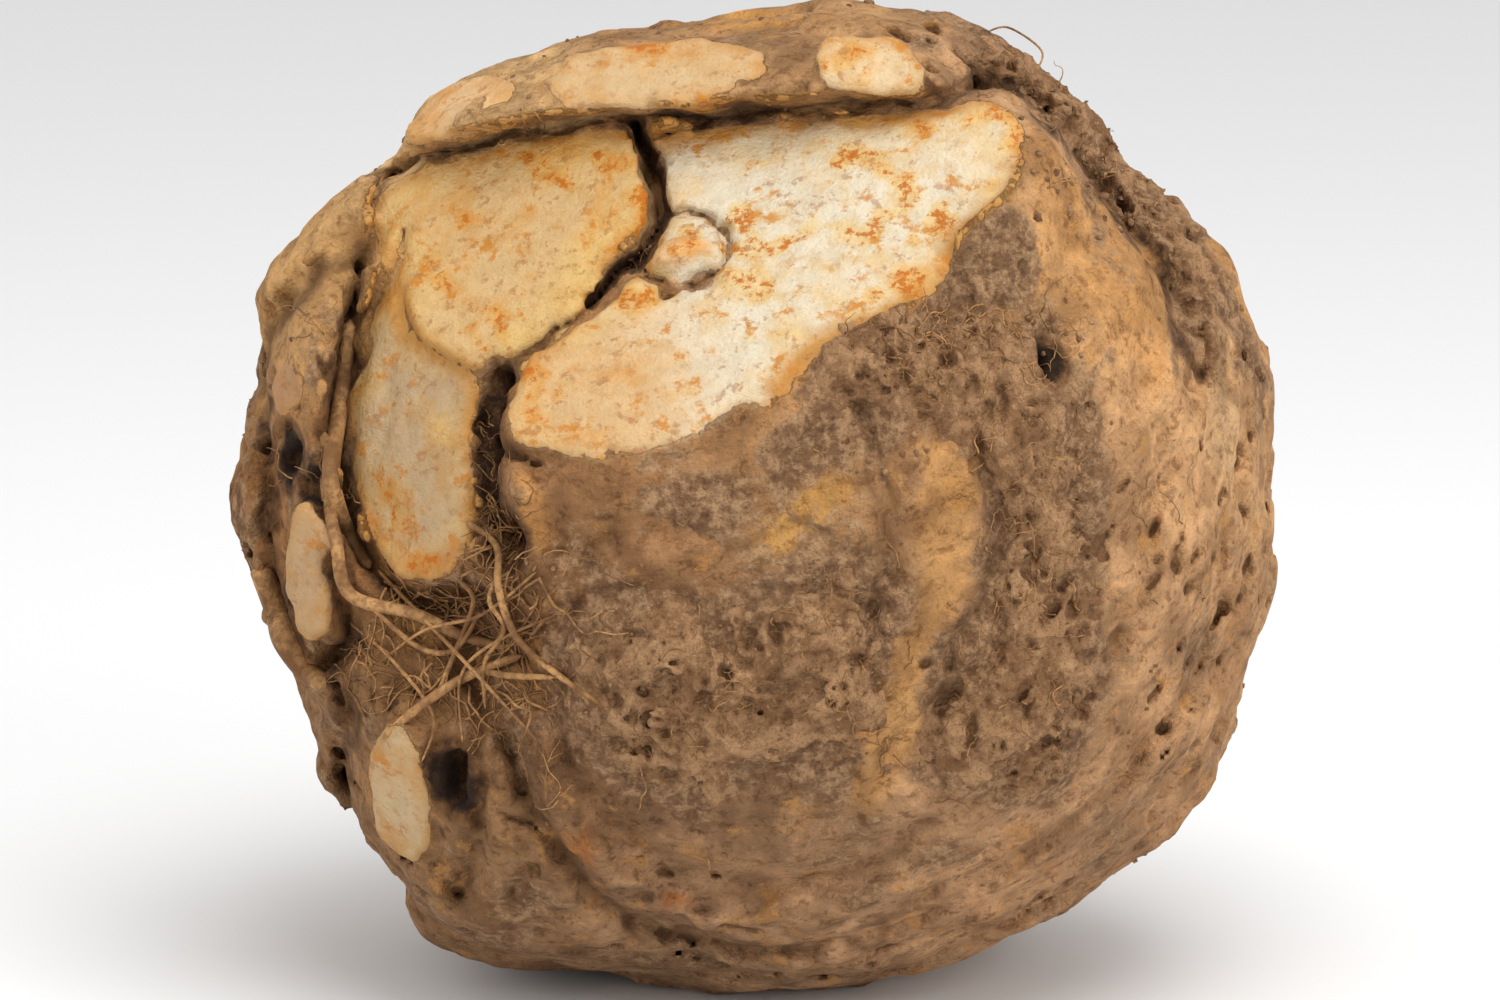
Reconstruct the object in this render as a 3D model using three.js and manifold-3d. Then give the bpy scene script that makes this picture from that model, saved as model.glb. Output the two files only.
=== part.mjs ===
// Celeriac (Apium graveolens var. rapaceum): the swollen root as it is lifted and trimmed, with earth still on it.
// Millimetres, +Z up. The root lies on its side on a small flattened patch, its root end up and to the front and its
// leaf crown behind.
//
// Places on the root are given on a drawing plane through its middle: u to the right, v up, t out of the plane
// towards the front. The drawing plane leans back by LEAN, so that it looks a little down on the root.
import * as THREE from "three";
import { mergeVertices } from "three/addons/utils/BufferGeometryUtils.js";
import Module from "manifold-3d";

const wasm = await Module();
wasm.setup();

// ---- driving dimensions ----
const LEAN = THREE.MathUtils.degToRad(10);
const MIDDLE = new THREE.Vector3(-0.4, 0.5, 57.5); // of the root, with the origin under the whole part's centre
const HALF_DEPTH = 57.5; // from the middle to the front and to the back
const SQUARENESS = 2.2; // 2 is an ellipsoid, and more is boxier
const BODY_DETAIL = 14; // subdivisions of the icosahedron
const CAKE_DETAIL = 12;
const GAP = 0.3; // between the root and the earth on it
const KNIFE_REACH = 60; // how far a knife cut's waste runs out from the cut face

// Outline of the drawing, anticlockwise from the right.
const OUTLINE = [
  [62.5, 5], [61, 20], [55.5, 31], [45, 39.5], [39, 47.5], [27, 56.5], [10, 59.5], [-5, 57.5], [-18, 55.7],
  [-36, 49.5], [-42.5, 41.5], [-51, 34.5], [-58.5, 23.5], [-61.3, 8], [-62, -3], [-55.5, -19], [-51, -32],
  [-42.5, -48], [-32, -55.5], [-13, -57.3], [-2, -59.5], [14, -58.3], [30, -53.5], [43.5, -46], [55.5, -32.5],
  [62, -12],
];

// Broad swellings and hollows: towards which direction, how high, and how wide in degrees.
const SWELLINGS = [
  { name: "front block, lower right", toward: [0.35, -0.25, 0.9], rise: 1.4, spread: 30 },
  { name: "front block, left corner", toward: [-0.28, 0.02, 0.96], rise: 2.4, spread: 14 },
  { name: "front block, right edge", toward: [0.52, 0.62, 0.58], rise: 3.4, spread: 15 },
  { name: "below the tongue", toward: [-0.62, -0.26, 0.74], rise: -6.5, spread: 13 },
  { name: "left of the cuts", toward: [-0.82, 0.3, 0.48], rise: -3, spread: 14 },
  { name: "left hollow", toward: [-0.9, 0.02, 0.43], rise: -2.5, spread: 8 },
  { name: "crown", toward: [0.2, -0.18, -0.96], rise: 2.5, spread: 26 },
  { name: "back hip", toward: [-0.55, -0.4, -0.73], rise: 2, spread: 20 },
];

// Knife cuts: the face's outward normal, its distance from the middle, and its outline on the drawing.
const KNIFE_CUTS = [
  {
    name: "right root face",
    normal: [-0.22, 0.69, 0.69],
    distance: 48.5,
    outline: [
      [-11, 40], [-4, 43.5], [8, 45.5], [19, 47.2], [30, 47.5], [40, 44], [40, 28], [26, 10], [6, -2],
      [-12, -6], [-25, -2], [-27.5, 9], [-26.4, 17], [-22, 21.5], [-14, 25.5], [-5, 29.5], [-8, 34],
    ],
  },
  {
    name: "left root face",
    normal: [-0.45, 0.6, 0.66],
    distance: 50,
    outline: [
      [-48, 36], [-42.5, 39], [-34.8, 40.5], [-25, 42.5], [-14.4, 43], [-12.4, 38], [-11.4, 33], [-15, 27.5],
      [-19, 23.5], [-26, 18], [-30.5, 13], [-50, 13],
    ],
  },
  {
    name: "root tongue face",
    normal: [-0.62, 0.25, 0.74],
    distance: 52,
    outline: [
      [-29.5, 13.2], [-30.6, 4], [-31.4, -2.5], [-34, -7.5], [-38.4, -9.6], [-42, -7.3], [-45, -1.9], [-47.4, 4.7],
      [-50, 13.2],
    ],
  },
];

// Channels between the roots: half width, and a path on the drawing with how far its middle is under the skin.
const CHANNELS = [
  {
    name: "behind the cuts",
    width: 2,
    path: [
      [-45, 34, 0.6], [-36, 40.6, 1.5], [-24, 43.4, 2], [-12, 44.4, 2], [2, 46.2, 2], [16, 48, 1.5], [28, 49.2, 1],
      [37, 44, 0.6], [45, 33, 0.6],
    ],
  },
  {
    name: "between the two faces",
    width: 2.2,
    path: [
      [-13, 44, 4], [-11, 37, 12.5], [-11, 31, 12.5], [-15, 26.6, 12], [-21, 22, 10], [-26.5, 16, 8], [-29, 9, 7],
      [-29, 1, 5], [-27, -5, 3],
    ],
  },
  {
    name: "left of the tongue",
    width: 2,
    path: [
      [-46, 27, 0.6], [-49.6, 16, 0.8], [-50.5, 6, 0.8], [-48.5, -2, 0.8], [-44, -9.5, 0.8], [-36, -13, 0.6],
      [-28, -12, 0.4],
    ],
  },
];

// Pits: where, how wide and how deep.
const PITS = [
  { name: "beside the pointed stump", at: [-35.2, -34.3], radius: 2.8, deep: 7 },
  { name: "below the crossing roots", at: [-28.5, -5.5], radius: 3.4, deep: 9 },
  { name: "on the front", at: [35.4, 16.2], radius: 2.2, deep: 4 },
  { name: "left, upper", at: [-53, 5], radius: 2.6, deep: 6 },
];

// Cut root stumps: where on the drawing, half sizes across and along, how proud of the skin, and which way they face.
const STUMPS = [
  { name: "small round root", at: [-8, 29], half: [4, 3.2], proud: -10.5, facing: [-0.15, 0.75, 0.65] },
  { name: "back left root", at: [-34.6, 46.3], half: [7, 6], proud: 0.8, facing: [-0.45, 0.72, 0.53] },
  { name: "back middle root", at: [-12, 50.4], half: [12.6, 7.4], proud: 0.2, facing: [-0.12, 0.78, 0.61] },
  { name: "back right root", at: [13.6, 51.7], half: [6.6, 6.6], proud: 0.8, facing: [0.12, 0.72, 0.68] },
  { name: "ringed root", at: [-52.6, 13.5], half: [4.6, 5.4], proud: 1, facing: [-0.8, 0.22, 0.55] },
  { name: "narrow pale root", at: [-52, -8.5], half: [3.6, 8], proud: 1.4, facing: [-0.78, -0.1, 0.62] },
  { name: "pointed root", at: [-41.5, -37], half: [4.4, 7.5], proud: 1.6, facing: [-0.6, -0.45, 0.66] },
];

// Rootlets that lie on the skin: half width, and a path on the drawing with the lift off the skin at each point.
const ROOTLETS = [
  {
    name: "beside the tongue",
    width: 1.2,
    path: [
      [-49.6, 7, 0.4], [-49, -2, 0.6], [-45.5, -9.6, 0.8], [-38.4, -13.2, 1.2], [-31, -15, 0.8], [-26, -15.5, -0.4],
    ],
  },
  { name: "straight rootlet", width: 0.7, path: [[-26.4, -18, 0.2], [-34, -22.6, 2], [-42, -27.6, 0]] },
];

// Leaf crown, trimmed flat: where it faces, how far it is from the middle, and its rings of leaf stalk bases.
const CROWN = {
  facing: [0.2, -0.18, -0.963],
  distance: 52.5,
  rings: [
    { radius: 21.5, height: 1.2 },
    { radius: 15, height: 2.2 },
    { radius: 8.6, height: 3.1 },
  ],
};

// Earth caked on the skin: the outline on the drawing, the thickness at its middle, and whether it is behind.
const CAKES = [
  {
    node: "earth_front",
    thickness: 1.9,
    outline: [
      [9, 16], [16, 20], [26, 20.5], [31.5, 20], [31.5, 14], [37, 11.5], [37, 5], [37.5, -10], [37.5, -24],
      [34, -31], [21, -31], [20.5, -24], [26, -14], [28, -4], [25, 4], [18, 8], [11, 10],
    ],
  },
  {
    node: "earth_middle",
    thickness: 1.6,
    outline: [
      [-22, -17.5], [-12, -12.5], [2, -12], [14, -9.5], [16.5, -17], [14.5, -26], [4, -30], [-8, -33], [-18, -28],
      [-22, -21],
    ],
  },
  {
    node: "earth_shoulder",
    thickness: 2.0,
    outline: [
      [28, 54.5], [36, 51], [41, 45], [48, 36], [53.5, 27], [57.5, 16], [54.5, 14.5], [50.5, 26], [44.5, 35],
      [38, 44], [30.5, 50],
    ],
  },
  {
    node: "earth_back",
    thickness: 1.8,
    behind: true,
    outline: [[-40, 30], [-26, 34], [-14, 28], [-10, 14], [-18, 4], [-30, 2], [-42, 10], [-46, 20]],
  },
];

const FLESH_COLOUR = new THREE.Color(0.62, 0.46, 0.29);
const EARTH_COLOUR = new THREE.Color(0.32, 0.23, 0.16);

// ---- the drawing plane ----
const RIGHT = new THREE.Vector3(1, 0, 0);
const UP = new THREE.Vector3(0, Math.sin(LEAN), Math.cos(LEAN));
const FRONT = new THREE.Vector3(0, -Math.cos(LEAN), Math.sin(LEAN));

function direction([u, v, t]) {
  return new THREE.Vector3().addScaledVector(RIGHT, u).addScaledVector(UP, v).addScaledVector(FRONT, t);
}

function place(u, v, t) {
  return direction([u, v, t]).add(MIDDLE);
}

// ---- the root's skin ----
function degrees(v, u) {
  return THREE.MathUtils.euclideanModulo(THREE.MathUtils.radToDeg(Math.atan2(v, u)), 360);
}

const outlineCurve = new THREE.CatmullRomCurve3(OUTLINE.map(([u, v]) => new THREE.Vector3(u, v, 0)), true);
const radiusByDegree = new Float64Array(360);
for (const p of outlineCurve.getPoints(3600)) radiusByDegree[Math.floor(degrees(p.y, p.x))] = p.length();

function outlineRadius(v, u) {
  const angle = degrees(v, u);
  const whole = Math.floor(angle) % 360;
  return THREE.MathUtils.lerp(radiusByDegree[whole], radiusByDegree[(whole + 1) % 360], angle - whole);
}

const swellings = SWELLINGS.map((s) => ({
  axis: new THREE.Vector3(...s.toward).normalize(),
  rise: s.rise,
  sharpness: 1 / (1 - Math.cos(THREE.MathUtils.degToRad(s.spread))),
}));

// Gentle unevenness that any grown root has, from a few crossed waves.
function unevenness(d) {
  const broad = Math.sin(4.1 * d.x + 1.3) * Math.sin(5.3 * d.y + 0.4) + Math.sin(6.7 * d.z - 3.1 * d.x + 2.2);
  const fine = Math.sin(13 * d.x + 7 * d.y) * Math.sin(15 * d.z - 5 * d.y + 1.1);
  return 0.35 * broad + 0.35 * fine;
}

// Distance from the middle to the skin in a direction given as (u, v, t).
function skinRadius(d) {
  const side = Math.hypot(d.x, d.y) / outlineRadius(d.y, d.x);
  const depth = Math.abs(d.z) / HALF_DEPTH;
  const block = (side ** SQUARENESS + depth ** SQUARENESS) ** (-1 / SQUARENESS);
  const swell = swellings.reduce((sum, s) => sum + s.rise * Math.exp((s.axis.dot(d) - 1) * s.sharpness), 0);
  return block + swell + unevenness(d);
}

// The point at (u, v) on the drawing where the front skin would be if it were grown outwards by lift.
function onSkin(u, v, lift = 0) {
  const d = new THREE.Vector3();
  let near = 0;
  let far = 80;
  for (let i = 0; i < 40; i++) {
    const t = (near + far) / 2;
    const length = d.set(u, v, t).length();
    if (length < skinRadius(d.divideScalar(length)) + lift) near = t;
    else far = t;
  }
  return place(u, v, near);
}

// ---- solids ----
function toSolid(geometry, matrix = new THREE.Matrix4()) {
  const bare = geometry.clone().applyMatrix4(matrix);
  bare.deleteAttribute("normal");
  bare.deleteAttribute("uv");
  const merged = mergeVertices(bare, 1e-4);
  return new wasm.Manifold(
    new wasm.Mesh({
      numProp: 3,
      vertProperties: merged.attributes.position.array,
      triVerts: new Uint32Array(merged.index.array),
    }),
  );
}

function toGeometry(solid) {
  const { numProp, numVert, vertProperties, triVerts } = solid.getMesh();
  const position = new Float32Array(numVert * 3);
  for (let i = 0; i < numVert; i++) position.set(vertProperties.subarray(i * numProp, i * numProp + 3), i * 3);
  const geometry = new THREE.BufferGeometry();
  geometry.setAttribute("position", new THREE.BufferAttribute(position, 3));
  geometry.setIndex(new THREE.BufferAttribute(new Uint32Array(triVerts), 1));
  geometry.computeVertexNormals();
  return geometry;
}

// A closed skin, grown outwards by grow(d).
function skinSolid(detail, grow) {
  const ball = new THREE.IcosahedronGeometry(1, detail);
  const position = ball.getAttribute("position");
  const d = new THREE.Vector3();
  for (let i = 0; i < position.count; i++) {
    d.fromBufferAttribute(position, i).normalize();
    const r = skinRadius(d) + grow(d);
    const p = place(d.x * r, d.y * r, d.z * r);
    position.setXYZ(i, p.x, p.y, p.z);
  }
  return toSolid(ball);
}

// A prism standing on a plane, over an outline that is given on the drawing and thrown along the line of sight.
function prism(outline, normal, distance, from, to) {
  const n = new THREE.Vector3(...normal).normalize();
  const origin = n.clone().multiplyScalar(distance);
  const across = new THREE.Vector3(1, 0, 0).addScaledVector(n, -n.x).normalize();
  const along = new THREE.Vector3().crossVectors(n, across);
  const onPlane = outline.map(([u, v]) => {
    const t = (distance - n.x * u - n.y * v) / n.z;
    const p = new THREE.Vector3(u, v, t).sub(origin);
    return new THREE.Vector2(p.dot(across), p.dot(along));
  });
  const geometry = new THREE.ExtrudeGeometry(new THREE.Shape(onPlane), { depth: to - from, bevelEnabled: false });
  geometry.translate(0, 0, from);
  const axes = [across, along, n].map((axis) => direction(axis.toArray()));
  return toSolid(geometry, new THREE.Matrix4().makeBasis(...axes).setPosition(place(...origin.toArray())));
}

// A round bar along a path, for channels and rootlets.
function bar(points, width) {
  const curve = new THREE.CatmullRomCurve3(points);
  const section = new THREE.Shape();
  section.absarc(0, 0, width, 0, 2 * Math.PI);
  const sweep = { steps: points.length * 3, curveSegments: 4, extrudePath: curve, bevelEnabled: false };
  return toSolid(new THREE.ExtrudeGeometry(section, sweep));
}

function channel({ path, width }) {
  return bar(path.map(([u, v, sink]) => onSkin(u, v, -sink)), width);
}

function rootlet({ path, width }) {
  return bar(path.map((p) => onSkin(...p)), width);
}

// A frame whose Y axis faces out and whose X axis lies level.
function facingFrame(at, out, across, along) {
  const wide = RIGHT.clone().addScaledVector(out, -out.x).normalize();
  const long = new THREE.Vector3().crossVectors(wide, out);
  const axes = new THREE.Matrix4().makeBasis(wide.multiplyScalar(across), out, long.multiplyScalar(along));
  return axes.setPosition(at);
}

function lathe(profile, segments) {
  const points = profile.map(([r, y]) => new THREE.Vector2(r, y));
  return new THREE.LatheGeometry(points, segments);
}

// A root stump with a flat cut end and a softened rim.
function stump({ at, half, proud, facing }) {
  const profile = [[0, -16], [0.8, -16], [1.08, -4], [1, -1.2], [0.92, -0.3], [0.82, 0], [0, 0]];
  const out = direction(facing).normalize();
  return toSolid(lathe(profile, 16), facingFrame(onSkin(...at, proud), out, ...half));
}

function pit({ at, radius, deep }) {
  const foot = onSkin(...at, 1);
  const out = foot.clone().sub(MIDDLE).normalize();
  const profile = [[0, -deep], [radius * 0.6, -deep], [radius * 1.15, 4], [0, 4]];
  return toSolid(lathe(profile, 12), facingFrame(foot, out, 1, 1));
}

function crownFrame() {
  const out = direction(CROWN.facing).normalize();
  return facingFrame(MIDDLE.clone().addScaledVector(out, CROWN.distance), out, 1, 1);
}

// Everything beyond the flat trim of the crown.
function crownWaste() {
  return toSolid(new THREE.CylinderGeometry(70, 70, 40, 24).translate(0, 20, 0), crownFrame());
}

// Low rings of trimmed leaf stalk bases, stepping up to the heart of the crown.
function crownRings() {
  return CROWN.rings.map(({ radius, height }) => {
    const profile = [[0, -8], [radius, -8], [radius, height - 0.6], [radius - 0.8, height], [0, height]];
    return toSolid(lathe(profile, 28), crownFrame());
  });
}

// The flattened patch that the root rests on.
function ground() {
  return toSolid(new THREE.BoxGeometry(200, 200, 60).translate(0, 0, -30));
}

function celeriacRoot() {
  let root = skinSolid(BODY_DETAIL, () => 0);
  for (const cut of KNIFE_CUTS) root = root.subtract(prism(cut.outline, cut.normal, cut.distance, 0, KNIFE_REACH));
  for (const end of STUMPS) root = root.add(stump(end));
  for (const path of CHANNELS) root = root.subtract(channel(path));
  for (const hole of PITS) root = root.subtract(pit(hole));
  for (const thread of ROOTLETS) root = root.add(rootlet(thread));
  root = root.subtract(crownWaste());
  for (const ring of crownRings()) root = root.add(ring);
  return root.subtract(ground());
}

// A cake of earth: a shell over the skin inside its outline, which thins towards its edge.
function earthCake({ outline, thickness, behind }) {
  const corners = outline.map(([u, v]) => new THREE.Vector2(u, v));
  const middle = corners.reduce((sum, p) => sum.add(p), new THREE.Vector2()).divideScalar(corners.length);
  const reach = Math.max(...corners.map((p) => middle.distanceTo(p)));
  const outer = skinSolid(CAKE_DETAIL, (d) => {
    const r = skinRadius(d);
    const off = Math.min(1, Math.hypot(d.x * r - middle.x, d.y * r - middle.y) / reach);
    const lumps = 0.25 * Math.sin(31 * d.x + 9 * d.y) * Math.sin(27 * d.y - 11 * d.x);
    return GAP + thickness * (1 - 0.45 * off * off) + lumps;
  });
  const inner = skinSolid(CAKE_DETAIL, () => GAP);
  const window = behind ? prism(outline, [0, 0, 1], 0, -90, 0) : prism(outline, [0, 0, 1], 0, 0, 90);
  return outer.subtract(inner).intersect(window);
}

function named(name, solid, colour, roughness) {
  const material = new THREE.MeshStandardMaterial({ color: colour, roughness, metalness: 0 });
  const mesh = new THREE.Mesh(toGeometry(solid), material);
  mesh.name = name;
  return mesh;
}

const celeriac = new THREE.Group();
const root = celeriacRoot();
celeriac.add(named("celeriac_root", root, FLESH_COLOUR, 0.75));
for (const cake of CAKES) celeriac.add(named(cake.node, earthCake(cake).subtract(root), EARTH_COLOUR, 0.95));

export default celeriac;
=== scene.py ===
# The looks of a celeriac: its root, the earth caked on it, its rootlets, and a plain studio round it.
# Shapes are worked out in millimetres on a drawing plane, as the CAD is: u to the right, v up, and t out of
# the plane towards the front, all from the root's middle. The meshes are in metres in the row frame.
import itertools
import math

import bpy
import numpy as np
import openvdb
from mathutils import Matrix, Vector
from mathutils.bvhtree import BVHTree


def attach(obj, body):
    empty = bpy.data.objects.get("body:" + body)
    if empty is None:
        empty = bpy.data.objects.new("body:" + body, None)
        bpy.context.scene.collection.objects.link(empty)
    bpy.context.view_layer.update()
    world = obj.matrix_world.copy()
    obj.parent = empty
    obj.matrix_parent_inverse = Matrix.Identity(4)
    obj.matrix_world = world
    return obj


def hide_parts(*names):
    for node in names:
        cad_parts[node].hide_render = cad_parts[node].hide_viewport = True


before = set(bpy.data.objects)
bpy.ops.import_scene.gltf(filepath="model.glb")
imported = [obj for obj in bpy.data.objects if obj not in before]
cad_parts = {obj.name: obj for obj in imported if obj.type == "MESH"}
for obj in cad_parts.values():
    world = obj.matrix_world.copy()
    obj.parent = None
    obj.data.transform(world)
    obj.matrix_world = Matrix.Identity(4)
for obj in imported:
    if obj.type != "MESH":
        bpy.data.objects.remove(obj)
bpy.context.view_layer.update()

# ---- driving dimensions, in millimetres ----
MM = 0.001
LEAN = math.radians(10)
MIDDLE = np.array([-0.4, 0.5, 57.5])
HALF_DEPTH = 57.5
SQUARENESS = 2.2
ROOT_VOXEL = 0.6
ROOT_FACES = 192_000
EARTH_FACES = 120_000
EARTH_VOXEL = 0.4
REACH = 66.0  # half the side of the space that holds the root

RIGHT = np.array([1.0, 0.0, 0.0])
UP = np.array([0.0, math.sin(LEAN), math.cos(LEAN)])
FRONT = np.array([0.0, -math.cos(LEAN), math.sin(LEAN)])
# (u, v, t) @ TO_ROW + MIDDLE is a place in the row frame, in millimetres.
TO_ROW = np.stack([RIGHT, UP, FRONT])

OUTLINE = [
    (62.5, 5), (61, 20), (55.5, 31), (45, 39.5), (39, 47.5), (27, 56.5), (10, 59.5), (-5, 57.5),
    (-18, 55.7), (-36, 49.5), (-42.5, 41.5), (-51, 34.5), (-58.5, 23.5), (-61.3, 8), (-62, -3),
    (-55.5, -19), (-51, -32), (-42.5, -48), (-32, -55.5), (-13, -57.3), (-2, -59.5), (14, -58.3),
    (30, -53.5), (43.5, -46), (55.5, -32.5), (62, -12),
]

# Broad swellings and hollows: towards which direction, how high, how wide in degrees.
SWELLINGS = [
    ((0.35, -0.25, 0.9), 1.4, 30),  # front block, lower right
    ((-0.28, 0.02, 0.96), 0.8, 14),  # front block, left corner
    ((0.5, 0.61, 0.62), 4.2, 13),  # front block, right edge
    ((-0.62, -0.26, 0.74), -6.5, 13),  # below the tongue
    ((-0.82, 0.3, 0.48), -3, 14),  # left of the cuts
    ((-0.9, 0.02, 0.43), -2.5, 8),  # left hollow
    ((0.2, -0.18, -0.96), 2.5, 26),  # crown
    ((-0.55, -0.4, -0.73), 2, 20),  # back hip
]

# Knife cuts: outward normal, distance from the middle, which way the waste went, outline on the drawing.
FACE_RIGHT = (
    (-0.2, 0.62, 0.75),
    50,
    (0, 0.25, 0.97),
    [(-12.6, 41), (-6, 43.4), (6, 44.2), (18, 45.2), (27, 46.6), (31.5, 43), (29.6, 36), (24, 30.5),
     (22, 24.5), (15.5, 21), (8.5, 17), (5, 13), (0, 8), (-6, 2), (-13, 0), (-19, -1), (-24, 2),
     (-27.4, 8.5), (-27.4, 14.5), (-26, 18.5), (-23, 21), (-18, 24), (-13.5, 25.6), (-12, 28),
     (-11.2, 33)],
)
FACE_LEFT = (
    (-0.4, 0.5, 0.77),
    50.3,
    (-0.05, 0.22, 0.97),
    [(-44.5, 33), (-42.5, 37.5), (-33.5, 40.5), (-23, 43), (-14, 43.2), (-12.4, 39), (-10.8, 34),
     (-11.3, 30.5), (-14.5, 27.5), (-17, 24.4), (-20.5, 20), (-26, 15), (-31.5, 10), (-39, 12),
     (-41, 18), (-42.5, 25)],
)
FACE_TONGUE = (
    (-0.62, 0.25, 0.74),
    51.6,
    (-0.05, 0.1, 0.99),
    [(-41, 30), (-45, 21.5), (-47.2, 12), (-47.5, 6), (-45.5, 0), (-42.5, -7), (-38.5, -9.7), (-34, -8),
     (-31.4, -2.5), (-32, 6), (-31, 13.5), (-36, 17), (-40, 21)],
)
KNIFE_CUTS = [FACE_RIGHT, FACE_LEFT, FACE_TONGUE]

# Cut root ends: place on the drawing, half sizes across and along, how proud of the skin, facing.
STUMPS = [
    ((-8, 29.2), (3.5, 2.1), -7.95, (-0.2, 0.66, 0.72)),  # small and round, in the crevice
    ((-34.4, 46.2), (7.0, 6.2), 0.4, (-0.45, 0.72, 0.53)),
    ((-11.6, 49.5), (13.4, 6.4), 0.3, (-0.12, 0.66, 0.74)),
    ((13.8, 49.4), (6.4, 6.0), 1.1, (0.08, 0.42, 0.9)),
    ((-54.6, 13.5), (3.8, 3.6), 1.2, (-0.66, 0.2, 0.72)),
    ((-51.4, -8.5), (4.8, 8.6), 1.4, (-0.66, -0.1, 0.74)),
    ((-41.2, -34.5), (4.8, 9.6), 1.6, (-0.6, -0.45, 0.66)),
    ((-49.8, 11.5), (1.5, 5.4), 0.4, (-0.7, 0.2, 0.68)),
]

# Pits: place on the drawing, half sizes across and along, depth.
PITS = [
    ((-34.2, -32.4), (2.1, 3.6), 8),
    ((-28.6, -4.5), (3.2, 3.2), 9),
    ((33.6, 15.6), (0.9, 1.9), 3),
    ((-54, 5), (3.2, 2.0), 6),
    ((-51.5, 1.5), (2.4, 1.6), 4),
    ((-11.3, 28), (1.4, 1.2), 12),
]

# Grooves (positive) and ridges (negative) on the front skin: depth, half width, path on the drawing.
LINES = [
    (1.8, 0.5, [(-13.2, 27), (-9, 24.9), (-4.4, 26), (-2.8, 29.4), (-5, 32.4), (-10.4, 33.6)]),
    (2.0, 0.9, [(-45, 35), (-42, 39.5), (-32.5, 42), (-23, 43.9), (-12, 44.8), (3.5, 45.4), (16, 46.4),
                (27, 47.8)]),
    (2.4, 1.5, [(27, 49), (32, 48), (37, 42.5), (41, 37), (45.5, 31), (50, 22), (52, 14)]),
    (5.0, 0.8, [(-13.3, 44), (-12, 39.5), (-10.4, 34), (-11.3, 30), (-15.5, 25.8), (-18.3, 22.3)]),
    (1.6, 0.5, [(-18.3, 22.3), (-21, 19.8), (-25.3, 17.3), (-27, 15)]),
    (3.6, 1.8, [(-28.5, 14), (-30, 9.5), (-29.4, 2.5), (-28.4, -4)]),
    (4.5, 0.5, [(-27.4, 14), (-28.4, 9.5), (-28.6, 4.5)]),
    (1.3, 0.8, [(-40, 32), (-43, 24), (-45.6, 17), (-47.6, 11)]),
    (3.2, 1.5, [(-46.6, 27), (-48.3, 14), (-48.8, 4.5), (-47.2, -3), (-43, -9.5), (-37.5, -12.5),
                (-31, -12)]),
    (0.5, 0.7, [(-39.5, 27), (-41, 20), (-42.5, 12), (-43, 4)]),
    (-1.6, 1.2, [(-24.5, -26.5), (-22, -34), (-19, -39.5), (-13, -45.5), (-6, -48.5), (6, -49), (18, -45)]),
    (1.8, 1.2, [(-27.5, -27.5), (-24.5, -36), (-20.5, -43), (-14, -48.5), (-6, -51.5), (8, -52),
                (21, -47.5)]),
    (1.5, 1.6, [(-23, -22), (-19, -32), (-12, -40), (-2, -44), (10, -43), (20, -38)]),
    (-1.2, 1.6, [(17, -44), (12, -44.5), (9, -45)]),
    (1.6, 0.6, [(18.5, -46.5), (22, -45)]),
    (1.2, 1.0, [(24, -46), (36, -39), (46, -29), (53, -17), (56, -4)]),
    (1.0, 1.0, [(16, -54), (30, -49.5), (42, -41), (51, -31), (58, -16)]),
    (1.1, 1.2, [(8, -40), (22, -36), (34, -28), (42, -17), (46, -4), (47, 8)]),
    (1.0, 0.8, [(-18, -6), (-10, -3), (-2, -5), (4, -3), (12, -6)]),
    (1.0, 0.9, [(-20, -12), (-12, -9), (-4, -12), (6, -9), (14, -12)]),
    (-1.0, 1.4, [(16, 14), (19, 4), (19, -8), (16, -20), (13, -32)]),
    (1.5, 1.0, [(13, 12), (15, 2), (15, -9), (12, -18)]),
    (1.5, 1.2, [(25, 8), (28, -4), (25, -14), (21, -26)]),
    (-2.0, 2.5, [(-57, 25), (-52, 31), (-46, 36)]),
    (2.0, 2.0, [(-60, 14), (-56, 22), (-50, 27), (-46, 30)]),
    (2.4, 1.6, [(-58, 12), (-57, 3), (-57, -6), (-54.5, -16), (-51, -19), (-47, -17)]),
    (2.4, 1.3, [(-48.5, -7), (-47, -14), (-48, -19), (-52, -21)]),
    (-1.4, 1.2, [(-58, -14), (-54.5, -17), (-50.5, -20.5)]),
    (2.0, 1.6, [(-47, -22), (-48, -33), (-46.5, -42), (-42, -46)]),
    (1.6, 1.4, [(-34, -16), (-31, -26), (-31, -38), (-34, -46)]),
    (1.2, 1.2, [(-29, -24), (-26, -36), (-27, -46)]),
]

# The trimmed leaf crown behind: facing, distance from the middle, ring radii.
CROWN_FACING = (0.2, -0.18, -0.963)
CROWN_DISTANCE = 52.5
CROWN_RINGS = [(21.5, 1.2), (15, 2.2), (8.6, 3.1)]

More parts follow.
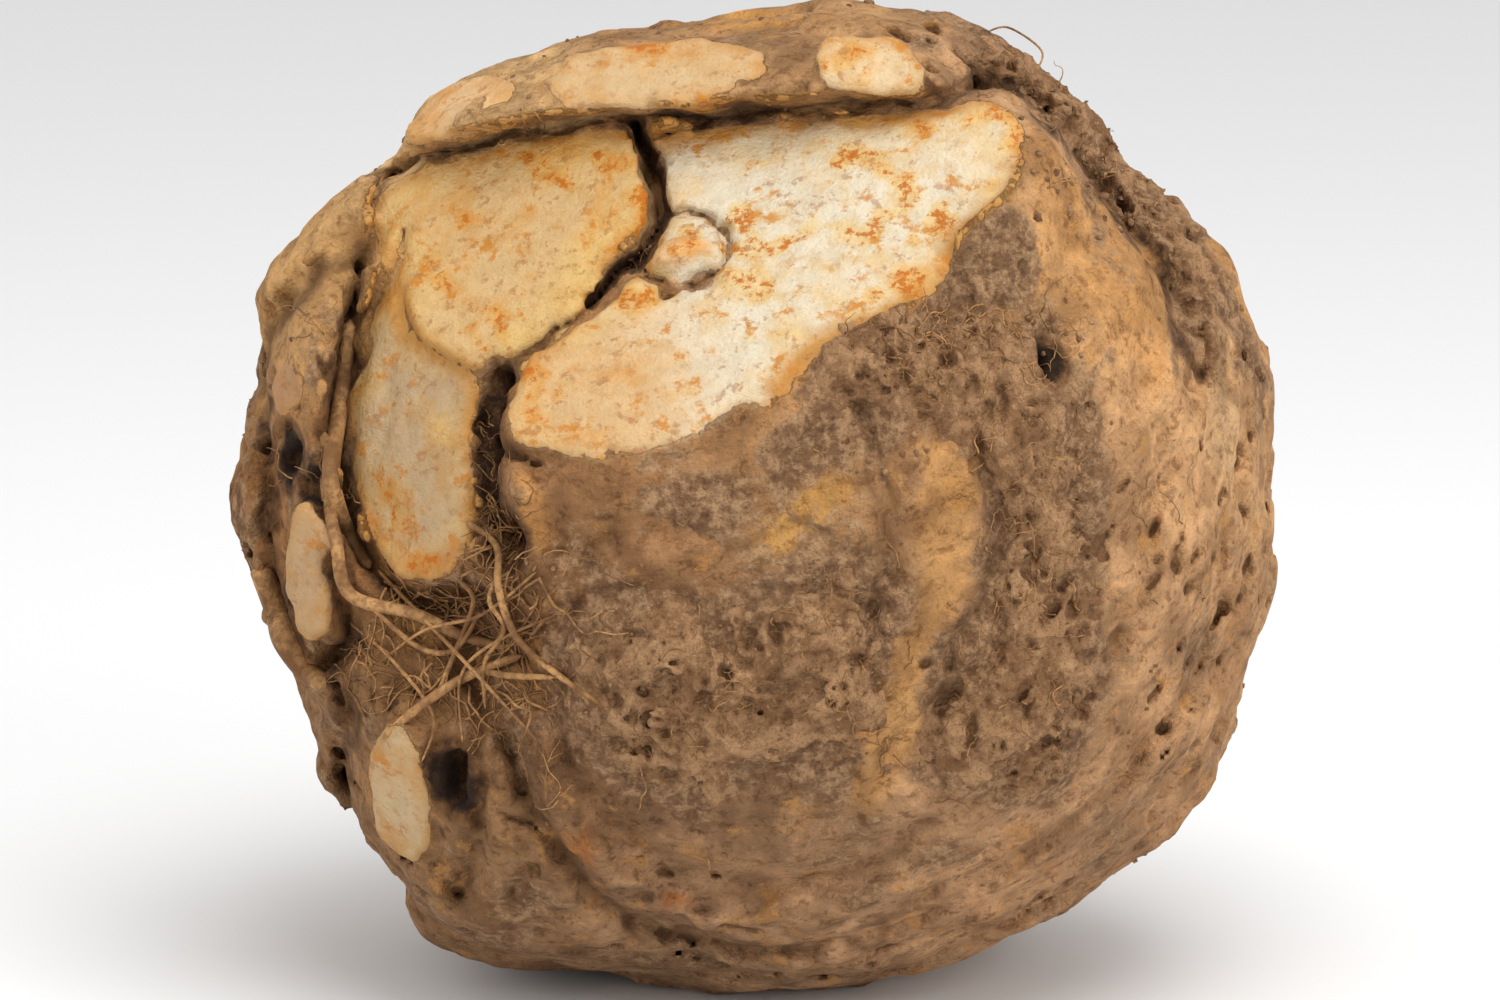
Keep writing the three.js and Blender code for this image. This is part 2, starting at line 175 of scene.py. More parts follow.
# Earth caked on the skin: node, outline on the drawing, thickness, behind.
CAKES = [
    ("earth_front",
     [(9, 17), (16, 20.5), (26, 20.5), (32, 20), (33, 14), (37, 11.5), (36.5, 4), (37.5, -10), (37.5, -24),
      (34, -31), (21, -31), (20.5, -24), (26, -14), (28, -4), (25, 4), (18, 8), (11, 11)], 1.7, False),
    ("earth_middle",
     [(-22, -17.5), (-12, -12.5), (2, -12), (14, -9.5), (16.5, -17), (14.5, -26), (4, -30), (-8, -33),
      (-18, -28), (-22, -21)], 1.4, False),
    ("earth_shoulder",
     [(28, 54.5), (36, 51), (41, 45), (48, 36), (53.5, 27), (57.5, 16), (54.5, 14.5), (50.5, 26),
      (44.5, 35), (38, 44), (30.5, 50)], 1.8, False),
    ("earth_back",
     [(-40, 30), (-26, 34), (-14, 28), (-10, 14), (-18, 4), (-30, 2), (-42, 10), (-46, 20)], 1.6, True),
]

# Rootlets on the front: half width, and a path on the drawing with the lift off the skin at each point.
ROOTLETS = [
    (0.8, [(-50, 8, 0.3), (-49.4, 1, 0.7), (-48, -5, 0.9), (-45.5, -10.5, 0.9), (-38.5, -13.8, 1.1),
           (-32.5, -15.2, 0.8), (-27.5, -17, -0.3)]),
    (0.6, [(-25.5, -17.6, 0.6), (-32.5, -21, 1.6), (-38, -24.6, 1.4), (-42.3, -27.6, 0.2)]),
    (0.45, [(-32.5, -2.5, 0), (-30, -5.5, 1.5), (-27.5, -9, 1.6), (-26.5, -13.5, 1.2), (-24.5, -17, 0.9),
            (-21, -20, 0.6), (-15.5, -24, 0)]),
    (0.4, [(-31, -19.6, 0.2), (-26.5, -20.2, 1.2), (-22, -20, 0.2)]),
    (0.35, [(-33, -9, 0.4), (-30, -12, 2), (-33, -18, 2), (-36, -23, 0.6)]),
    (0.3, [(-26, -6, 0.6), (-28, -10, 2.2), (-27, -14, 1.6), (-29.5, -19, 1.2), (-30, -24, 0.4)]),
    (1.7, [(-58.8, -8, -1), (-57, -13, 0.2), (-54.5, -17, 0.4), (-51.5, -20, 0.3), (-49.8, -21.8, -0.5)]),
    (0.14, [(28, 56, 0.6), (30.5, 55.5, 2.0), (33.2, 52.6, 1.8), (33.6, 50.4, 0.1)]),
    (0.25, [(-43, -8, 0.4), (-38, -14, 1.6), (-30, -20, 1.8), (-24, -27, 0.5)]),
    (0.22, [(-47, -14, 0.4), (-41, -18, 1.2), (-36, -25, 1.4), (-38, -30, 0.3)]),
    (0.2, [(-24, -8, 0.4), (-29, -13, 2.0), (-37, -15, 1.8), (-43, -19, 0.4)]),
    (0.2, [(-22, -13, 0.4), (-28, -16, 2.2), (-33, -22, 1.8), (-33, -28, 0.3)]),
    (1.1, [(-46.8, 21, 0.3), (-48.6, 12, 0.5), (-48.4, 3, 0.2), (-46.4, -4, 0.4), (-44, -8, 0.2)]),
    (0.35, [(-44, -12, 0.4), (-38, -17, 1.4), (-33, -17, 1.6), (-30, -13, 1.2)]),
]

# Fine fibres: how many, middle and half sizes of their region on the drawing, lengths, half widths.
FIBRES = [
    (150, (-34, -15), (11, 11), (4, 16), (0.08, 0.24)),
    (60, (-47, -2), (3, 16), (3, 10), (0.08, 0.2)),
    (30, (-12, 35), (2, 8), (2, 6), (0.06, 0.12)),
    (40, (-29, -3), (3, 4), (3, 9), (0.08, 0.2)),
    (40, (-29.5, 6), (1.6, 8), (2, 6), (0.06, 0.14)),
    (70, (22, 18), (13, 3.5), (2, 7), (0.06, 0.12)),
    (70, (31, -8), (7, 20), (2, 6), (0.06, 0.12)),
    (60, (0, -21), (19, 9), (2, 7), (0.06, 0.12)),
    (40, (40, 44), (9, 9), (2, 5), (0.06, 0.12)),
    (40, (-50, 0), (6, 22), (3, 8), (0.08, 0.18)),
    (30, (-30, 44), (14, 3), (2, 6), (0.06, 0.12)),
    (90, (5, -10), (48, 38), (2, 6), (0.05, 0.1)),
]
FIBRE_STEPS = 9
LONGEST_STEP = 3 * MM  # a fibre that jumps further, over an edge of the root, is left out

# Crumbs of earth: how many, middle and half sizes of their region on the drawing, radii.
CRUMBS = [
    (110, (24, 12), (14, 9), (0.25, 0.75)),
    (120, (32, -12), (6, 20), (0.25, 0.8)),
    (110, (-2, -22), (18, 9), (0.2, 0.7)),
    (90, (42, 42), (11, 12), (0.25, 0.8)),
    (60, (-5, 46), (32, 1.5), (0.2, 0.6)),
    (40, (-12, 34), (2, 8), (0.2, 0.5)),
    (60, (-32, -14), (10, 10), (0.2, 0.6)),
    (120, (0, -5), (50, 45), (0.15, 0.5)),
]
CRUMBS_BEHIND = 260


# ---- small maths ----
def smoothstep(low, high, x):
    w = np.clip((x - low) / (high - low), 0, 1)
    return w * w * (3 - 2 * w)


def smooth_max(a, b, k):
    h = np.maximum(k - np.abs(a - b), 0) / k
    return np.maximum(a, b) + h * h * k / 4


def smooth_min(a, b, k):
    return -smooth_max(-a, -b, k)


def unit(v):
    v = np.asarray(v, dtype=float)
    return v / np.linalg.norm(v)


LATTICE = 64
lattice = (np.random.default_rng(11).random(LATTICE**3) * 2 - 1).astype(np.float32)


def noise(p, size, seed=0):
    """Smooth noise between -1 and 1 at points p, with lumps of about that size."""
    q = np.asarray(p, dtype=np.float32) / np.float32(size) + np.float32(seed * 7.31 + 100)
    cell = np.floor(q)
    w = q - cell
    w = w * w * (3 - 2 * w)
    cell = cell.astype(np.int32)
    low = cell & (LATTICE - 1)
    high = (cell + 1) & (LATTICE - 1)
    x = (low[:, 0] * LATTICE**2, high[:, 0] * LATTICE**2)
    y = (low[:, 1] * LATTICE, high[:, 1] * LATTICE)
    z = (low[:, 2], high[:, 2])

    def along_z(i, j):
        a = lattice[x[i] + y[j] + z[0]]
        return a + (lattice[x[i] + y[j] + z[1]] - a) * w[:, 2]

    def along_y(i):
        a = along_z(i, 0)
        return a + (along_z(i, 1) - a) * w[:, 1]

    a = along_y(0)
    return a + (along_y(1) - a) * w[:, 0]


def layered_noise(p, size, octaves, seed=0, gain=0.5):
    total = 0
    for i in range(octaves):
        total = total + gain**i * noise(p, size / 2**i, seed + i)
    return total


def spline(points, per_segment=8, closed=False):
    """Points along a Catmull-Rom curve through the given points."""
    p = np.asarray(points, dtype=float)
    count = len(p)
    last = count if closed else count - 1
    w = (np.arange(per_segment) / per_segment)[:, None]
    rows = []
    for i in range(last):
        if closed:
            a, b, c, d = (p[(i + k) % count] for k in (-1, 0, 1, 2))
        else:
            a, b, c, d = (p[min(max(i + k, 0), count - 1)] for k in (-1, 0, 1, 2))
        cubic = 2 * b + (c - a) * w + (2 * a - 5 * b + 4 * c - d) * w**2 + (3 * b - a - 3 * c + d) * w**3
        rows.append(cubic / 2)
    if not closed:
        rows.append(p[-1:])
    return np.concatenate(rows)


# ---- the drawing: maps over (u, v), worked out from the lists above ----
MAP_STEP = 0.25
map_side = int(2 * REACH / MAP_STEP) + 1
map_axis = np.linspace(-REACH, REACH, map_side)
MAP_U, MAP_V = np.meshgrid(map_axis, map_axis, indexing="ij")


def path_distance(u, v, path, closed=False):
    """Distance on the drawing to a path, negative inside a closed one."""
    points = [np.asarray(q, dtype=float) for q in path]
    ends = points[1:] + points[:1] if closed else points[1:]
    nearest = np.full(u.shape, 1e9)
    inside = np.zeros(u.shape, dtype=bool)
    for (au, av), (bu, bv) in zip(points, ends):
        du, dv = bu - au, bv - av
        along = np.clip(((u - au) * du + (v - av) * dv) / (du * du + dv * dv + 1e-12), 0, 1)
        nearest = np.minimum(nearest, np.hypot(u - au - along * du, v - av - along * dv))
        if closed:
            crosses = (av > v) != (bv > v)
            inside ^= crosses & (u < au + (v - av) * du / (dv if dv else 1e-12))
    return np.where(inside, -nearest, nearest)


def sample(chart, u, v):
    """Values of a map at places on the drawing."""
    x = np.clip((u + REACH) / MAP_STEP, 0, map_side - 1.001)
    y = np.clip((v + REACH) / MAP_STEP, 0, map_side - 1.001)
    i = x.astype(np.int32)
    j = y.astype(np.int32)
    fx = x - i
    fy = y - j
    if chart.ndim == 3:
        fx = fx[:, None]
        fy = fy[:, None]
    low = chart[i, j] * (1 - fx) + chart[i + 1, j] * fx
    high = chart[i, j + 1] * (1 - fx) + chart[i + 1, j + 1] * fx
    return low * (1 - fy) + high * fy


def wobbly(path, closed=False):
    return spline(path, 6, closed)


def window_map(outline):
    return path_distance(MAP_U, MAP_V, wobbly(outline, True), True).astype(np.float32)


cut_windows = [window_map(outline) for *_, outline in KNIFE_CUTS]


def relief_map():
    """How far the lines sink the skin, and the painted shade in their bottoms, darker in deeper grooves."""
    sink = np.zeros(MAP_U.shape)
    shade = np.zeros(MAP_U.shape)
    for depth, width, path in LINES:
        near = np.exp(-((path_distance(MAP_U, MAP_V, wobbly(path)) / width) ** 2))
        sink += depth * near
        if depth > 0:
            shade = np.maximum(shade, near * min(1, depth / 2.5))
    return sink.astype(np.float32), shade.astype(np.float32)


sink_chart, shade_chart = relief_map()

# ---- the root's shape ----
outline_points = spline(OUTLINE, 40, True)
outline_angle = np.arctan2(outline_points[:, 1], outline_points[:, 0])
outline_order = np.argsort(outline_angle)
outline_angle = outline_angle[outline_order]
outline_radius = np.hypot(outline_points[:, 0], outline_points[:, 1])[outline_order]


def skin_radius(d):
    """Distance from the middle to the plain skin in the directions d."""
    side = np.hypot(d[:, 0], d[:, 1])
    side /= np.interp(np.arctan2(d[:, 1], d[:, 0]), outline_angle, outline_radius, period=2 * math.pi)
    depth = np.abs(d[:, 2]) / HALF_DEPTH
    r = (side**SQUARENESS + depth**SQUARENESS) ** (-1 / SQUARENESS)
    for toward, rise, spread in SWELLINGS:
        r += rise * np.exp((d @ unit(toward) - 1) / (1 - math.cos(math.radians(spread))))
    return r


def on_skin(u, v, lift=0.0):
    """The place (u, v, t) where the plain front skin, grown by lift, is at (u, v) on the drawing."""
    near, far = 0.0, 80.0
    for _ in range(40):
        t = (near + far) / 2
        p = np.array([[u, v, t]])
        length = np.linalg.norm(p)
        if length < skin_radius(p / length)[0] + lift:
            near = t
        else:
            far = t
    return np.array([u, v, near])


def level_frame(facing):
    """Axes across, along and out, with across level."""
    out = unit(facing)
    across = unit(np.array([1.0, 0, 0]) - out * out[0])
    return across, np.cross(across, out), out


def knife_parts(p, cut, window):
    """Height over a knife cut's plane, and distance on the drawing to its outline."""
    normal, distance, waste, _ = cut
    n = unit(normal)
    height = p @ n - distance
    foot = p - height[:, None] * (unit(waste) / (unit(waste) @ n))
    return height, sample(window, foot[:, 0], foot[:, 1])


stump_places = [on_skin(*at, proud) for at, _, proud, _ in STUMPS]
pit_places = [on_skin(*at) for at, _, _ in PITS]


def stump_parts(p, stump, place):
    """Height over a stump's cut end, and distance off its axis, where 1 is its rim."""
    _, (half_across, half_along), _, facing = stump
    across, along, out = level_frame(facing)
    q = p - place
    ragged = 0.13 * noise(p, 4.5, 81) + 0.07 * noise(p, 1.8, 82)
    return q @ out, np.hypot(q @ across / half_across, q @ along / half_along) + ragged


def stump_field(p, stump, place):
    height, off = stump_parts(p, stump, place)
    size = min(stump[1])
    wall = (off - 1 - 0.02 * np.clip(-height, 0, 6)) * size
    return smooth_max(smooth_max(wall, height, 1.2), -height - 14, 1)


ROOT_AXIS = unit((-0.2, 0.62, 0.76))  # from the leaf crown to the root end, which the skin's rings go round
RING_ACROSS, RING_ALONG, _ = level_frame(ROOT_AXIS)


def ring_space(p, stretch):
    """Places in which a noise comes out drawn along the rings round the root."""
    r = np.linalg.norm(p, axis=1) + 1e-6
    polar = np.arccos(np.clip(p @ ROOT_AXIS / r, -1, 1)) * r
    return np.stack([p @ RING_ACROSS / stretch, p @ RING_ALONG / stretch, polar], axis=1)


def front_amount(p):
    return smoothstep(-6, 6, p[:, 2])


def crown_parts(p):
    across, along, out = level_frame(CROWN_FACING)
    q = p - unit(CROWN_FACING) * CROWN_DISTANCE
    return q @ out, np.hypot(q @ across, q @ along), np.arctan2(q @ along, q @ across)


def crown_top(p):
    """Height of the trimmed crown over its plane: leaf stalk bases in rings, with gaps between them."""
    height, off, turn = crown_parts(p)
    top = np.zeros(len(p))
    for i, (radius, rise) in enumerate(CROWN_RINGS):
        ripple = 0.6 * np.cos(turn * (5 - i) + i * 1.3)
        top = np.maximum(top, rise * smoothstep(1.0, -1.0, off - radius - ripple))
        top -= 1.4 * np.exp(-(((off - radius - ripple - 0.9) / 0.7) ** 2))
    return height, off, top


def skin_pits(p):
    """1 in the small lens-shaped pits that lie along the rings, 0 between them."""
    pits = smoothstep(0.4, 0.62, noise(ring_space(p, 1.6), 1.8, 7) + 0.15 * noise(p, 1.5, 9))
    return pits * smoothstep(-0.25, 0.25, noise(p, 15, 8) + 0.6 * smoothstep(30, 50, np.abs(p[:, 0])) - 0.1)


def crumbs(p):
    """Crumbly relief of earth, in millimetres."""
    coarse = 0.9 * (0.3 - np.abs(noise(p, 3.1, 74)))
    fine = 0.8 * (0.3 - np.abs(noise(p, 1.6, 75)))
    return coarse + fine + 0.3 * noise(p, 0.9, 76)


def root_field(p):
    """Signed distance to the root's surface, near it."""
    r = np.linalg.norm(p, axis=1) + 1e-6
    d = p / r[:, None]
    f = r - skin_radius(d)
    front = front_amount(p)
    rings = ring_space(p, 4)

    # the skin: lumps, rings and pits, which the knife has taken off the cut faces
    bumps = 0.7 * noise(p, 15, 1) + 0.8 * noise(p, 7, 2) + 0.4 * noise(p, 3.4, 3)
    bumps += 0.8 * noise(rings, 4.5, 4) + 0.5 * noise(rings, 2.2, 5) + 0.22 * noise(p, 1.4, 6)
    f += 1.2 * skin_pits(p)
    crust = front * sample(earth_chart, p[:, 0], p[:, 1])
    crust += (1 - front) * smoothstep(0, 0.5, noise(p, 16, 61))
    bumps += smoothstep(0.45, 0.9, crust) * crumbs(p)
    f -= bumps

    # the cut root ends, of which the first one stands in a crevice and is left by the knife
    stump_ends = [stump_field(p, stump, place) for stump, place in zip(STUMPS, stump_places)]
    stump_ends = [stump_end + 0.15 * noise(p, 2, 15) for stump_end in stump_ends]
    for stump_end in stump_ends[1:]:
        f = smooth_min(f, stump_end, 0.8)
    for cut, window in zip(KNIFE_CUTS, cut_windows):
        height, edge = knife_parts(p, cut, window)
        wave = 0.35 * noise(p, 9, 12) + 0.16 * noise(p, 2.5, 13) + 0.3 * noise(rings, 5, 19)
        edge = edge + 0.5 * noise(p, 3, 14)
        f = smooth_max(f, np.minimum(height + wave, -edge), 1.1)
    f = smooth_min(f, stump_ends[0], 0.8)

    # grooves, ridges, pits, the trimmed crown and the flat that it stands on
    jitter_u = p[:, 0] + 1.0 * noise(p, 4, 16) + 0.6 * noise(p, 1.7, 62)
    jitter_v = p[:, 1] + 1.0 * noise(p, 4, 17) + 0.6 * noise(p, 1.7, 63)
    f += front * sample(sink_chart, jitter_u, jitter_v)
    for (at, (half_across, half_along), deep), place in zip(PITS, pit_places):
        across, along, out = level_frame(place)
        q = p - place
        ball = (q @ across / half_across) ** 2 + (q @ along / half_along) ** 2 + (q @ out / deep) ** 2
        ball = np.sqrt(ball) + 0.25 * noise(p, 2.2, 83)
        f = smooth_max(f, (1 - ball) * min(half_across, half_along), 1.0)

    height, off, top = crown_top(p)
    trimmed = height - top - 0.2 * noise(p, 2.5, 18)
    f = smooth_max(f, np.where(height > -8, trimmed, -8), 1.0)
    ground = -(MIDDLE[2] + p @ TO_ROW[:, 2])
    return smooth_max(f, ground, 0.4)


def mesh_field(field, low, high, voxel, band):
    """Vertices and quads of a field's zero surface, worked out finely where a coarse pass finds it near."""
    coarse = 2 * voxel
    count = np.ceil((np.asarray(high) - low) / coarse).astype(int) + 1
    index = np.indices(count).reshape(3, -1).T
    rough = field(low + index * coarse).reshape(count).astype(np.float32)
    fine = np.repeat(np.repeat(np.repeat(rough, 2, 0), 2, 1), 2, 2)
    wanted = np.abs(rough) < band
    for axis in range(3):
        wanted |= np.roll(wanted, 1, axis) | np.roll(wanted, -1, axis)
    wanted = np.repeat(np.repeat(np.repeat(wanted, 2, 0), 2, 1), 2, 2)
    near = np.argwhere(wanted)
    fine[tuple(near.T)] = field(low + near * voxel)
    grid = openvdb.FloatGrid(1.0)
    grid.copyFromArray(fine, tolerance=0)
    points, _, quads = grid.convertToPolygons(0.0, 0.0)
    return np.asarray(points) * voxel + low, np.asarray(quads)


def to_row(p):
    return (p @ TO_ROW + MIDDLE) * MM


def from_row(co):
    return (co / MM - MIDDLE) @ TO_ROW.T


def make_object(name, verts, faces):
    mesh = bpy.data.meshes.new(name)
    mesh.from_pydata([], [], [])
    mesh.vertices.add(len(verts))
    mesh.vertices.foreach_set("co", np.ascontiguousarray(verts, dtype=np.float32).ravel())
    sides = faces.shape[1]
    mesh.loops.add(faces.size)
    mesh.loops.foreach_set("vertex_index", np.ascontiguousarray(faces, dtype=np.int32).ravel())
    mesh.polygons.add(len(faces))
    mesh.polygons.foreach_set("loop_start", np.arange(0, faces.size, sides, dtype=np.int32))
    mesh.update(calc_edges=True)
    mesh.validate()
    obj = bpy.data.objects.new(name, mesh)
    bpy.context.scene.collection.objects.link(obj)
    return obj


def outward(points, quads):
    """The quads with their front to the outside."""
    a, b, c = (points[quads[:, i]] for i in (0, 1, 2))
    volume = np.einsum("ij,ij->i", a, np.cross(b, c)).sum()
    return quads if volume > 0 else quads[:, ::-1]


def thin_out(obj, faces):
    """Decimates the object's mesh to about that many triangles, and smooths its shading."""
    triangles = sum(len(polygon.vertices) - 2 for polygon in obj.data.polygons)
    if triangles > faces:
        modifier = obj.modifiers.new("Decimate", "DECIMATE")
        modifier.ratio = faces / triangles
        bpy.context.view_layer.update()
        reduced = bpy.data.meshes.new_from_object(obj.evaluated_get(bpy.context.evaluated_depsgraph_get()))
        obj.modifiers.clear()
        old = obj.data
        obj.data = reduced
        bpy.data.meshes.remove(old)
    obj.data.polygons.foreach_set("use_smooth", np.ones(len(obj.data.polygons), dtype=bool))


def vertex_places(obj):
    co = np.empty(len(obj.data.vertices) * 3, dtype=np.float32)
    obj.data.vertices.foreach_get("co", co)
    return co.reshape(-1, 3).astype(float)


def set_amount(obj, name, values):
    layer = obj.data.attributes.new(name, "FLOAT", "POINT")
    layer.data.foreach_set("value", np.clip(values, 0, 1).astype(np.float32))


def set_tint(obj, name, colours):
    layer = obj.data.attributes.new(name, "FLOAT_COLOR", "POINT")
    rgba = np.concatenate([np.clip(colours, 0, 1), np.ones((len(colours), 1))], axis=1)
    layer.data.foreach_set("color", rgba.astype(np.float32).ravel())


def linear(rgb):
    """Linear colour for an sRGB one given from 0 to 255."""
    c = np.asarray(rgb, dtype=float) / 255
    return np.where(c <= 0.04045, c / 12.92, ((c + 0.055) / 1.055) ** 2.4)


# ---- the root's colours ----
# Broad skin colours round these places on the drawing.
SKIN_TINTS = [
    ((45, 5), (212, 164, 116)), ((52, -20), (200, 154, 110)), ((35, -45), (192, 148, 108)),
    ((0, -54), (192, 150, 112)), ((-35, -48), (160, 120, 82)), ((-45, -25), (160, 118, 76)),
    ((-50, 0), (160, 112, 66)), ((-52, 25), (212, 164, 106)), ((-40, 45), (220, 178, 124)),
    ((0, 56), (186, 142, 96)), ((40, 45), (196, 152, 110)), ((45, 28), (208, 156, 100)),
    ((10, -10), (172, 130, 90)), ((-15, -15), (160, 118, 82)), ((-20, -4), (170, 124, 80)),
    ((10, 5), (180, 134, 88)), ((30, -10), (170, 130, 94)), ((0, -32), (152, 114, 80)),
    # (-30, -10) lies in the hollow under the tongue: its dark brown is painted shade there over the earth's
    # own brown
    ((-30, -10), (108, 70, 36)), ((60, 5), (212, 164, 116)), ((20, -45), (196, 152, 112)),
]
HIDDEN_TINTS = [(192, 148, 102), (160, 122, 86), (186, 138, 86)]

# Patches: colour, outline on the drawing.
SKIN_PATCHES = [
    ((206, 154, 94), [(23, 8.5), (18, 3.5), (18.5, -7.5), (17, -18), (12, -26.5), (12, -35), (18, -33.5),
                      (19, -24), (24, -12), (27, -2.5), (27, 8.5)]),
    ((206, 152, 94), [(31, 43), (37, 40.5), (43, 33.5), (48, 25), (49, 15.5), (44.5, 16.5), (38.5, 24),
                      (33.5, 32.5)]),
    ((132, 102, 72), [(23.5, 31.5), (30, 33), (32.5, 27.5), (30, 21.5), (23, 20.5), (20.5, 24)]),
    ((214, 162, 88), [(-1, -4), (3, 0), (8, 2), (13, 1), (11, -2), (5, -4), (1, -6)]),
    ((130, 98, 70), [(3, 9), (9, 11), (12, 6), (8, 2), (3, 3)]),
    ((132, 100, 70), [(-12, 2), (-5, 3), (0, 0), (-4, -3.5), (-11, -2)]),
    ((206, 168, 124), [(53, 19), (57, 18), (57.5, 8), (54.5, 2), (53, 9)]),
    ((196, 120, 58), [(-22, -38), (-19.5, -37.5), (-18.5, -40), (-21, -41)]),
    ((196, 118, 54), [(-10.5, -45), (-7, -44.5), (-5.5, -46), (-9.5, -47)]),
    ((204, 118, 50), [(11.5, -25.5), (13.5, -25.3), (13.5, -27), (11.8, -27)]),
    ((220, 158, 80), [(-5, 57), (0, 58.5), (6, 58.3), (5, 56.4), (-2, 55.8)]),
    ((210, 150, 86), [(-27, 1), (-24, 3), (-22.5, -2), (-25, -5), (-27, -3)]),
]

# Flesh colours of the cut faces, of the three knife cuts and then of the stumps. The left cut and the
# tongue are darker than the right cut: partly their own yellower flesh, partly painted shade for facing
# left and down, away from the light.
FACE_TINTS = [(208, 194, 168), (196, 161, 110), (178, 150, 114)]
STUMP_TINTS = [
    (214, 178, 134), (206, 168, 120), (196, 164, 120), (206, 180, 140), (166, 126, 88), (180, 146, 106),
    (190, 162, 122), (168, 134, 94),
]
RIM_TINT = (184, 134, 68)
CROWN_TINT = (198, 160, 108)
NEAR_RIM_TINT = (208, 170, 102)
LOWER_FACE_TINT = (196, 155, 100)
TONGUE_TIP_TINT = (184, 138, 80)

# Orange stains on the flesh: half width and path.
STAINS = [
   
    (0.9, [(13, 41), (10.5, 39.2), (9.8, 38.8), (13, 38.8), (16.5, 37), (17.6, 35), (16, 32.8),
           (11.5, 31.3)]),
    (0.9, [(-3, 28), (-1, 27), (2, 27.3)]), (0.8, [(-1.5, 30.8), (0, 30)]),
    (0.9, [(13.5, 24), (16.5, 25), (18.5, 26)]), (0.8, [(-14, 22.5), (-12, 21.5), (-10.5, 22.5)]),
    (0.9, [(27.5, 43.5), (29.5, 42), (30, 40)]), (0.7, [(-23, 38), (-20, 36)]),
    (0.7, [(-18, 41), (-15, 39)]), (0.9, [(-43, 2), (-41, 0), (-40, -3), (-41.5, -4)]),
    (0.7, [(-36, 27), (-34, 25)]), (0.7, [(-29.5, 22), (-28, 18)]), (0.7, [(-23.5, 12), (-21, 13)]),
    (0.8, [(-25, 9), (-25.5, 12), (-24.5, 15)]), (0.7, [(-40, -7.5), (-37.5, -6.5)]),
    (0.6, [(5, 29), (7, 31)]), (0.8, [(14, 39.5), (12, 40.5), (11, 42)]), (0.6, [(21, 43.5), (23, 42)]),
    (0.7, [(19, 30), (21, 31.5)]), (0.8, [(-5, 25), (-2, 24.4), (0, 25)]),
    (0.6, [(-20, 4), (-16, 2.5)]), (0.7, [(-25, 4), (-23, 2.5)]), (0.7, [(-26, 39), (-23.5, 38.6)]),
    (0.6, [(-31, 13), (-28, 14)]), (0.7, [(-13, 35), (-12, 31.5)]), (0.6, [(-35, 33), (-33, 32)]),
    (0.7, [(-8.2, 29.4), (-7, 29)]), (0.6, [(-33, 20), (-31.5, 18)]), (0.7, [(-16, 53), (-10, 54)]),
    (0.6, [(10, 50), (13, 52)]), (0.7, [(-25, 47), (-23, 49)]),
]


def stain_map():
    stain = np.zeros(MAP_U.shape)
    for width, path in STAINS:
        stain = np.maximum(stain, np.exp(-((path_distance(MAP_U, MAP_V, wobbly(path)) / width) ** 2)))
    return stain.astype(np.float32)


def tint_map():
    total = np.zeros(MAP_U.shape + (3,))
    weight = np.full(MAP_U.shape + (1,), 1e-9)
    for (u, v), rgb in SKIN_TINTS:
        near = np.exp(-((MAP_U - u) ** 2 + (MAP_V - v) ** 2) / 12**2)[..., None]
        total += near * linear(rgb)
        weight += near
    tint = total / weight
    for rgb, outline in SKIN_PATCHES:
        near = smoothstep(1.0, -1.4, path_distance(MAP_U, MAP_V, wobbly(outline, True), True))[..., None]
        tint = tint + (linear(rgb) - tint) * 0.75 * near
    return tint.astype(np.float32)


def earth_map():
    """Where thin earth lies on the front skin, from the cakes and the ridges."""
    earth = np.full(MAP_U.shape, 0.3)
    for _, outline, _, behind in CAKES:
        if not behind:
            edge = path_distance(MAP_U, MAP_V, outline, True)
            earth = np.maximum(earth, smoothstep(7, 0, edge))
    for rgb, outline in SKIN_PATCHES:
        bright = max(rgb) > 190
        near = smoothstep(1.5, -1.5, path_distance(MAP_U, MAP_V, wobbly(outline, True), True))
        earth += near * ((0.05 if bright else 0.95) - earth)
    return earth.astype(np.float32)


stain_chart = stain_map()
tint_chart = tint_map()
earth_chart = earth_map()


def mix(a, b, amount):
    return a + (b - a) * amount[:, None]


